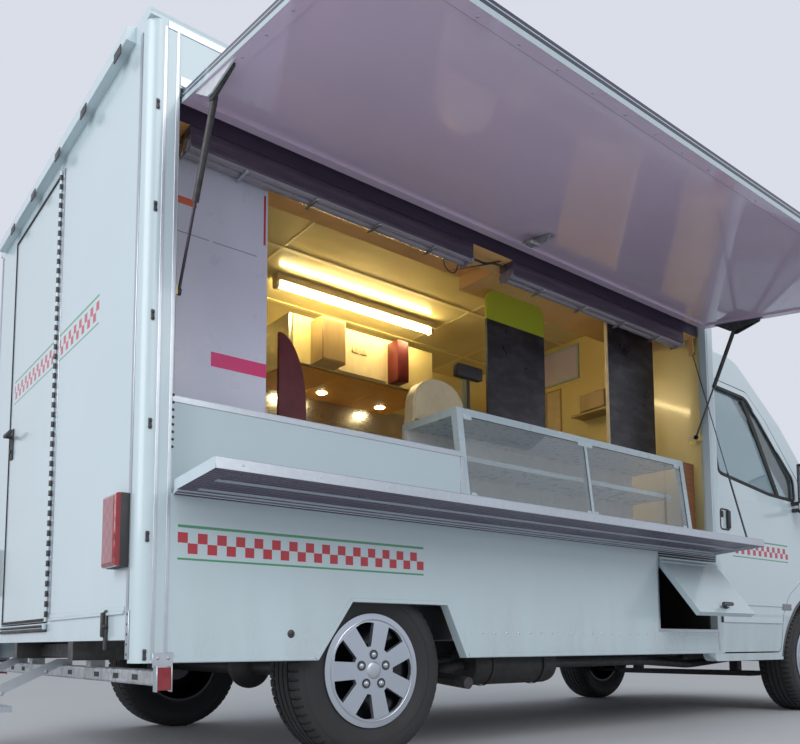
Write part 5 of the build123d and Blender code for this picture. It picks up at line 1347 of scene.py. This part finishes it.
class FOODTRUCK_OT_tyres(Operator):
    """Tyres with ribbed tread and shoulder blocks"""
    bl_idname = "foodtruck.tyres"
    bl_label = "Build the tyres"

    def execute(self, context):
        blocks = context.scene.food_sizes.tread_pitch
        for end, (x, y) in AXLES.items():
            for side, name, short in ((1, "left", "l"), (-1, "right", "r")):
                body, centre, axis = f"wheel_{end[0]}{short}", (x, side * y, AXLE_Z), (0, side, 0)
                obj = piece(f"tread_{end}_{name}", [self.tyre(centre, blocks)], "tread", body, 30)
                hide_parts(f"tyre_{end}_{name}")
                dome_line = [(0.0, 0.1120), (0.016, 0.1117), (0.026, 0.1105), (0.0315, 0.1085), (0.0335, 0.1060)]
                rim_line = [(0.190, 0.1030), (0.1925, 0.1043), (0.1950, 0.1030)]
                caps = [lathe(dome_line, centre, axis, 40), lathe(rim_line, centre, axis, 96)]
                piece(f"hub_cap_{end}_{name}", caps, "alloy", body)
                a = np.radians(90 + 72 * np.arange(5))
                lip = [(0.0125, 0.0), (0.0190, 0.0), (0.0190, 0.0012), (0.0125, 0.0012)]
                well = facing(lathe(lip, (0, 0, 0), (0, 0, 1), 24, closed=True), axis)
                places = np.c_[x + 0.060 * np.cos(a), np.full(5, side * (y + 0.1066)), AXLE_Z + 0.060 * np.sin(a)]
                piece(f"nut_wells_{end}_{name}", [repeated(well, places)], "plastic", body)
        return {"FINISHED"}

    def tyre(self, centre, blocks):
        """P(i, j) = centre + h_i axis + (r_i - g_i s_j)(cos a_j, sin a_j), where s is 1 in a slot and 0 on a block."""
        half = [  # h, r, slot depth
            (0.0000, 0.3450, 0), (0.0120, 0.3450, 0), (0.0122, 0.3375, 0), (0.0195, 0.3375, 0), (0.0197, 0.3450, 0),
            (0.0430, 0.3448, 0), (0.0432, 0.3372, 0), (0.0520, 0.3372, 0), (0.0522, 0.3446, 0.0075),
            (0.0780, 0.3436, 0.0075), (0.0900, 0.3385, 0.0065), (0.0985, 0.3310, 0.005), (0.1000, 0.3280, 0),
            (0.1065, 0.3150, 0), (0.1090, 0.3090, 0), (0.1102, 0.3085, 0), (0.1104, 0.3055, 0), (0.1120, 0.3000, 0),
            (0.1124, 0.2900, 0), (0.1112, 0.2760, 0), (0.1108, 0.2720, 0), (0.1090, 0.2715, 0), (0.1070, 0.2600, 0),
            (0.1020, 0.2440, 0), (0.0960, 0.2300, 0), (0.0926, 0.2190, 0), (0.0905, 0.2064, 0),
        ]
        right = np.array(half)
        left = right[:0:-1] * (-1, 1, 1)
        h, r, depth = np.concatenate([left, right]).T
        pitch = 2 * math.pi / blocks
        share = np.array([0.0, 0.70, 0.74, 0.94])
        a = (np.arange(blocks)[:, None] + share).ravel() * pitch
        slot = np.tile([0.0, 0.0, 1.0, 1.0], blocks)
        reach = r[:, None] - depth[:, None] * slot[None]
        points = np.stack([reach * np.cos(a), np.repeat(h[:, None], len(a), 1), reach * np.sin(a)], -1)
        return points.reshape(-1, 3) + centre, grid_faces(len(h), len(a), wrap_rows=True, wrap_columns=True), []


class FOODTRUCK_OT_cab_trim(Operator):
    """Window seals, handles, strips, arch lips, lamps, mirrors' glass and wipers of the cab"""
    bl_idname = "foodtruck.cab_trim"
    bl_label = "Trim the cab"

    def execute(self, context):
        window = rounded_path(
            [
                (3.534, 0, 1.460), (3.534, 0, 2.050), (4.040, 0, 2.030), (4.470, 0, 1.530), (4.440, 0, 1.380),
                (4.100, 0, 1.390),
            ],
            0.035, 5, True,
        )
        for side, name, short in ((-1, "right", "r"), (1, "left", "l")):
            body, up = f"cab_door_{short}", OUT[side]
            path = on_cab(window[:, [0, 2]], side, -0.003)
            seal = [strip(path, 0.022, 0.007, up, closed=True)]
            seal.append(
                strip(
                    on_cab([(4.010, 2.010), (4.075, 1.80), (4.150, 1.60), (4.230, 1.392)], side, -0.011), 0.040, 0.010,
                    up,
                )
            )
            piece(f"window_seal_{name}", seal, "rubber", body=body)
            strips = [strip(on_cab([(3.482, z), (4.182, z)], side, -0.001), 0.040, 0.009, up) for z in (0.690, 0.585)]
            piece(f"rub_strips_{name}", strips, "cab_door", body=body)
            recess = rounded_path(
                [(3.500, 0, 1.115), (3.500, 0, 1.235), (3.600, 0, 1.235), (3.600, 0, 1.115)], 0.02, 4, True,
            )[:, [0, 2]]
            handle = [strip(on_cab(recess, side, -0.001), 0.010, 0.003, up, closed=True)]
            handle += [
                bar(3.560, 3.590, side * 0.984, side * 1.004, 1.120, 1.230, 0.008, 3),
                bar(3.505, 3.530, side * 0.984, side * 0.990, 1.185, 1.225, 0.004, 2),
            ]
            piece(f"cab_handle_{name}", handle, "plastic", body=body)
            glass = [
                bar(4.3628, 4.3655, side * 1.044, side * 1.166, z0, z1, 0.001)
                for z0, z1 in ((1.385, 1.592), (1.308, 1.376))
            ]
            piece(f"mirror_glass_{name}", glass, "mirror", body=body)
            a = np.linspace(math.radians(2), math.radians(178), 40)
            arch = np.c_[4.627 - 0.4115 * np.cos(a), AXLE_Z + 0.4115 * np.sin(a)]
            lip = [strip(on_cab(arch, side, -0.002), 0.018, 0.008, up)]
            lip.append(strip(on_cab([(4.985, 0.628), (5.112, 0.628)], side, -0.001), 0.03, 0.007, up))
            piece(f"arch_lip_{name}", lip, "bumper_strip")
            marker = [strip(on_cab([(4.195, 0.672), (4.305, 0.672)], side, -0.001), 0.040, 0.006, up)]
            piece(f"side_marker_{name}", marker, "smoke")
        # The wipers lie on the screen: s runs up it, w is the height over it.
        def screen(s, y, w):
            return (4.850 - 0.6564 * s + 0.7545 * w, y, 1.400 + 0.7545 * s + 0.6564 * w)

        arms, off = [], (0.7545, 0, 0.6564)
        boss = [(0.0, -0.03), (0.02, -0.03), (0.02, 0.012), (0.012, 0.02), (0.0, 0.02)]
        for y, tip in ((0.52, -0.06), (-0.12, -0.66)):
            arm = [screen(0.055, y, 0.004), screen(0.065, y, 0.030), screen(0.12, (y + tip) / 2, 0.030)]
            blade = [screen(0.10, y - 0.02, 0.010), screen(0.14, tip, 0.010)]
            arms += [tube(arm, 0.007, 8), strip(blade, 0.014, 0.012, off)]
            arms.append(lathe(boss, screen(0.055, y, 0.012), off, 16))
        piece("wipers", arms, "plastic")
        roof_ribs = [bar(3.50, 3.96, y - 0.012, y + 0.012, 2.3435, 2.3485, 0.002) for y in (-0.45, -0.15, 0.15, 0.45)]
        piece("roof_ribs", roof_ribs, "cab")
        return {"FINISHED"}


class FOODTRUCK_OT_cab_inside(Operator):
    """Gauges, vents, lever and pedals of the cab"""
    bl_idname = "foodtruck.cab_inside"
    bl_label = "Fit the cab inside"

    def execute(self, context):
        gauge = [
            lathe(
                [(0.0, 0.0), (0.052, 0.0), (0.056, 0.008), (0.050, 0.010), (0.0, 0.004)], (4.592, y, 1.350),
                (-1, 0, 0.15), 32,
            )
            for y in (0.35, 0.47)
        ]
        piece("gauges", gauge, "plastic")
        vents = [
            bar(4.552, 4.562, y - 0.06, y + 0.06, z, z + 0.006, 0.002)
            for y in (-0.72, -0.12, 0.10, 0.74)
            for z in (1.190, 1.202, 1.214, 1.226)
        ]
        vents += [
            bar(4.552, 4.562, -0.66, -0.24, 1.060, 1.066, 0.002), bar(4.550, 4.562, -0.10, 0.10, 1.110, 1.165, 0.004),
        ]
        piece("dash_vents", vents, "plastic")
        knob = [(0.0, -0.03), (0.018, -0.026), (0.026, 0.0), (0.020, 0.022), (0.0, 0.030)]
        lever = [
            tube([(4.540, 0.0, 1.050), (4.470, 0.0, 1.110), (4.440, 0.0, 1.180)], 0.009, 12, (0, 1, 0)),
            lathe(knob, (4.435, 0.0, 1.205), (0, 0, 1), 24),
        ]
        piece("gear_lever", lever, "plastic")
        pedals = [bar(4.520, 4.540, y - 0.03, y + 0.03, 0.880, 0.960, 0.004) for y in (0.30, 0.42, 0.54)]
        pedals += [tube([(4.535, y, 0.95), (4.700, y, 1.03)], 0.007, 8, (0, 1, 0)) for y in (0.30, 0.42, 0.54)]
        piece("pedals", pedals, "black")
        return {"FINISHED"}


class FOODTRUCK_OT_underside(Operator):
    """Exhaust, prop shaft and tank under the floor"""
    bl_idname = "foodtruck.underside"
    bl_label = "Fit the underside"

    def execute(self, context):
        half = [(0.0, -0.30), (0.050, -0.30), (0.092, -0.285), (0.098, -0.26)]
        silencer = lathe(half + [(r, -s) for r, s in half[::-1]], (2.05, -0.62, 0.345), (1, 0, 0), 32)
        pipe = rounded_path(
            [(5.10, -0.30, 0.36), (4.20, -0.30, 0.30), (3.20, -0.62, 0.345), (2.30, -0.62, 0.345)], 0.12, 8,
        )
        tail = rounded_path(
            [(1.80, -0.62, 0.345), (1.60, -0.62, 0.33), (1.46, -0.75, 0.30), (1.46, -0.98, 0.28)], 0.07, 8,
        )
        # The exhaust takes the near-black chassis finish as painted shade, as it lies in shadow under the floor.
        piece("exhaust", [silencer, tube(pipe, 0.026, 16), tube(tail, 0.026, 16)], "chassis")
        hangers = [bar(x, x + 0.03, -0.625, -0.615, 0.440, 0.4600, 0.002) for x in (1.86, 2.22)]
        hangers += [
            lathe(
                [(0.1005, -0.008), (0.1035, -0.008), (0.1035, 0.008), (0.1005, 0.008)], (x, -0.62, 0.345), (1, 0, 0),
                32, closed=True,
            )
            for x in (1.875, 2.235)
        ]
        piece("exhaust_hangers", hangers, "chassis")
        shaft = [tube([(1.06, 0, 0.345), (2.90, 0, 0.355), (4.60, 0, 0.362)], 0.029, 16)]
        shaft += [
            lathe([(0.0, -0.03), (0.046, -0.03), (0.046, 0.03), (0.0, 0.03)], (x, 0, z), (1, 0, 0), 20)
            for x, z in ((1.09, 0.3455), (2.90, 0.350), (4.57, 0.345))
        ]
        piece("prop_shaft", shaft, "chassis")
        tank = [bar(2.35, 3.05, 0.46, 0.86, 0.20, 0.4585, 0.04, 4)]
        tank += [bar(x, x + 0.03, 0.456, 0.864, 0.196, 0.4590, 0.042, 4) for x in (2.48, 2.88)]
        piece("fuel_tank", tank, "plastic")
        return {"FINISHED"}


# The seats' cloth run: cell of the fine mesh in metres, pressure, frames, and a point's furthest move in metres.
CELL, PRESSURE, FRAMES, MOVE_LIMIT = 0.009, 4.0, 20, 0.024


class FOODTRUCK_OT_seats(Operator):
    """Sewn seat cushions and backs, swelled by a cloth run"""
    bl_idname = "foodtruck.seats"
    bl_label = "Make the seats"

    def execute(self, context):
        for name, y0, y1 in (("driver", 0.170, 0.650), ("double", -0.720, 0.060)):
            for part, x0, x1, z0, z1 in (
                ("cushion", 3.640, 4.120, 0.980, 1.120), ("back", 3.560, 3.730, 1.1203, 1.730),
            ):
                self.pad(f"seat_{part}_{name}", (x0, y0, z0), (x1, y1, z1))
        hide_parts("seat_pads")
        return {"FINISHED"}

    def pad(self, name, low, high):
        """A rounded block drawn a little small, then swelled within the space that its solid holds."""
        low, high = np.array(low), np.array(high)
        obj = piece(name, [rounded_block(low + 0.010, high - 0.010, 0.035, 5)], "cloth", smooth=180)
        self.swell(obj)
        mesh = obj.data
        place = np.empty(len(mesh.vertices) * 3)
        mesh.vertices.foreach_get("co", place)
        place = place.reshape(-1, 3)
        shift = np.array((REAR_X, MID_Y, 0.0))
        place = np.clip(place, low + shift + 0.001, high + shift - 0.001)
        mesh.vertices.foreach_set("co", place.ravel())
        mesh.shade_smooth()
        return obj

    def swell(self, obj):
        """Remesh finely, blow up by a cloth run, hold each point's move below a limit, then smooth."""
        view = bpy.context.view_layer
        view.objects.active = obj
        fine = obj.modifiers.new("fine", "REMESH")
        fine.mode, fine.voxel_size = "VOXEL", CELL
        self.keep(obj, fine)
        start = np.empty(len(obj.data.vertices) * 3)
        obj.data.vertices.foreach_get("co", start)
        cloth = obj.modifiers.new("cloth", "CLOTH")
        cloth.settings.use_pressure = True
        cloth.settings.uniform_pressure_force = PRESSURE
        cloth.settings.effector_weights.gravity = 0.0
        cloth.point_cache.frame_start, cloth.point_cache.frame_end = 1, FRAMES
        for number in range(1, FRAMES + 1):
            bpy.context.scene.frame_set(number)
        self.keep(obj, cloth)
        bpy.context.scene.frame_set(1)
        end = np.empty(len(start))
        obj.data.vertices.foreach_get("co", end)
        move = (end - start).reshape(-1, 3)
        length = np.linalg.norm(move, axis=1, keepdims=True)
        move *= np.minimum(1.0, MOVE_LIMIT / np.maximum(length, 1e-9))
        obj.data.vertices.foreach_set("co", (start.reshape(-1, 3) + move).ravel())
        smooth = obj.modifiers.new("smooth", "SUBSURF")
        smooth.levels = smooth.render_levels = 1
        self.keep(obj, smooth)

    def keep(self, obj, modifier):
        """Turn one modifier's result into the object's own mesh."""
        graph = bpy.context.evaluated_depsgraph_get()
        mesh = bpy.data.meshes.new_from_object(obj.evaluated_get(graph))
        obj.modifiers.remove(modifier)
        old = obj.data
        obj.data = mesh
        bpy.data.meshes.remove(old)
        if not mesh.materials:
            mesh.materials.append(FINISH["cloth"])


# The camera as fitted to the box's straight edges in the photograph: yaw, pitch and roll in degrees, film and
# lens in millimetres, and the picture's width, middle row and level row in pixels.
CAMERA_TURN = (51.648, 5.362, -0.268)
CAMERA_PLACE = (REAR_X - 0.887, MID_Y - 3.484, 0.439)
FILM_WIDTH, CAMERA_LENS = 36.0, 36.12
PICTURE_WIDTH, MIDDLE_ROW, LEVEL_ROW = 800.0, 372.0, 570.2


class FOODTRUCK_OT_stage(Operator):
    """Set the floor, the light and the camera of the photograph"""
    bl_idname = "foodtruck.stage"
    bl_label = "Set the stage"

    def execute(self, context):
        scene, light = context.scene, context.scene.food_light
        half = 60.0
        mesh = bpy.data.meshes.new("floor")
        mesh.from_pydata([(-half, -half, 0), (half, -half, 0), (half, half, 0), (-half, half, 0)], [], [(0, 1, 2, 3)])
        floor = bpy.data.objects.new("floor", mesh)
        scene.collection.objects.link(floor)
        t = finish("Pale floor", (0.56, 0.57, 0.59), 0.75)
        t.feed("Base Color", t.mix(t.noise(0.6, 3.0), (0.54, 0.55, 0.57), (0.59, 0.60, 0.62)))
        mesh.materials.append(t.material)
        world = bpy.data.worlds.new("Pale sky")
        scene.world = world
        world.use_nodes = True
        t = Tree(world.node_tree)
        back = world.node_tree.nodes["Background"]
        path = t.node("ShaderNodeLightPath")
        seen = t.math("MAXIMUM", t.read(path, "Is Camera Ray"), t.read(path, "Is Glossy Ray"))
        seen = t.math("MAXIMUM", seen, t.read(path, "Is Transmission Ray"))
        t.put(back.inputs["Color"], t.mix(seen, (0.90, 0.94, 1.0), (0.76, 0.79, 0.88)))
        t.put(back.inputs["Strength"], light.world + seen * (0.92 - light.world))
        for name, power, place, aim, width in (
            ("key", light.key, (-1.5, -8.5, 6.5), (0.0, 0.0, 1.2), 6.0),
            ("fill", light.fill, (-8.0, -1.5, 4.0), (-1.0, 0.0, 1.2), 5.0),
        ):
            data = bpy.data.lights.new(name, "AREA")
            data.energy, data.size = power, width
            lamp = bpy.data.objects.new(name, data)
            scene.collection.objects.link(lamp)
            lamp.location = place
            lamp.rotation_euler = (Vector(aim) - Vector(place)).to_track_quat("-Z", "Y").to_euler()
        scene.view_settings.view_transform = "Standard"
        self.camera(scene)
        return {"FINISHED"}

    def camera(self, scene):
        """The photograph's view: low behind the serving side, looking forward and slightly up."""
        yaw, pitch, roll = (math.radians(angle) for angle in CAMERA_TURN)
        ahead = Vector((math.cos(pitch) * math.cos(yaw), math.cos(pitch) * math.sin(yaw), math.sin(pitch)))
        level = Vector((math.sin(yaw), -math.cos(yaw), 0))
        above = level.cross(ahead)
        right = level * math.cos(roll) + above * math.sin(roll)
        above = right.cross(ahead)
        data = bpy.data.cameras.new("camera")
        data.sensor_width, data.lens = FILM_WIDTH, CAMERA_LENS
        data.shift_y = (LEVEL_ROW - MIDDLE_ROW) / PICTURE_WIDTH
        data.clip_end = 200.0
        camera = bpy.data.objects.new("camera", data)
        turn = Matrix((right, above, -ahead)).transposed().to_4x4()
        camera.matrix_world = Matrix.Translation(CAMERA_PLACE) @ turn
        scene.collection.objects.link(camera)
        scene.camera = camera


OPERATORS = [
    FOODTRUCK_OT_finishes, FOODTRUCK_OT_nodes, FOODTRUCK_OT_body_trim, FOODTRUCK_OT_rear_fittings,
    FOODTRUCK_OT_hatch_trim, FOODTRUCK_OT_lamps_inside, FOODTRUCK_OT_kitchen, FOODTRUCK_OT_counter_trim,
    FOODTRUCK_OT_tyres, FOODTRUCK_OT_cab_trim, FOODTRUCK_OT_cab_inside, FOODTRUCK_OT_underside,
    FOODTRUCK_OT_seats, FOODTRUCK_OT_stage,
]


class FOODTRUCK_PT_panel(Panel):
    """Lists the steps that dress the truck"""
    bl_idname = "FOODTRUCK_PT_panel"
    bl_label = "Food truck"
    bl_space_type = "VIEW_3D"
    bl_region_type = "UI"
    bl_category = "Food truck"

    def draw(self, context):
        for step in OPERATORS:
            self.layout.operator(step.bl_idname)


CLASSES = [FoodTruckColours, FoodTruckSizes, FoodTruckLight] + OPERATORS + [FOODTRUCK_PT_panel]


def register():
    for cls in CLASSES:
        bpy.utils.register_class(cls)
    bpy.types.Scene.food_colours = PointerProperty(type=FoodTruckColours)
    bpy.types.Scene.food_sizes = PointerProperty(type=FoodTruckSizes)
    bpy.types.Scene.food_light = PointerProperty(type=FoodTruckLight)


def unregister():
    for name in ("food_light", "food_sizes", "food_colours"):
        delattr(bpy.types.Scene, name)
    for cls in reversed(CLASSES):
        bpy.utils.unregister_class(cls)


def plain(box):
    return [list(map(float, corner)) for corner in box]


def main():
    register()
    for step in OPERATORS:
        group, name = step.bl_idname.split(".")
        getattr(getattr(bpy.ops, group), name)()


if __name__ == "__main__":
    main()
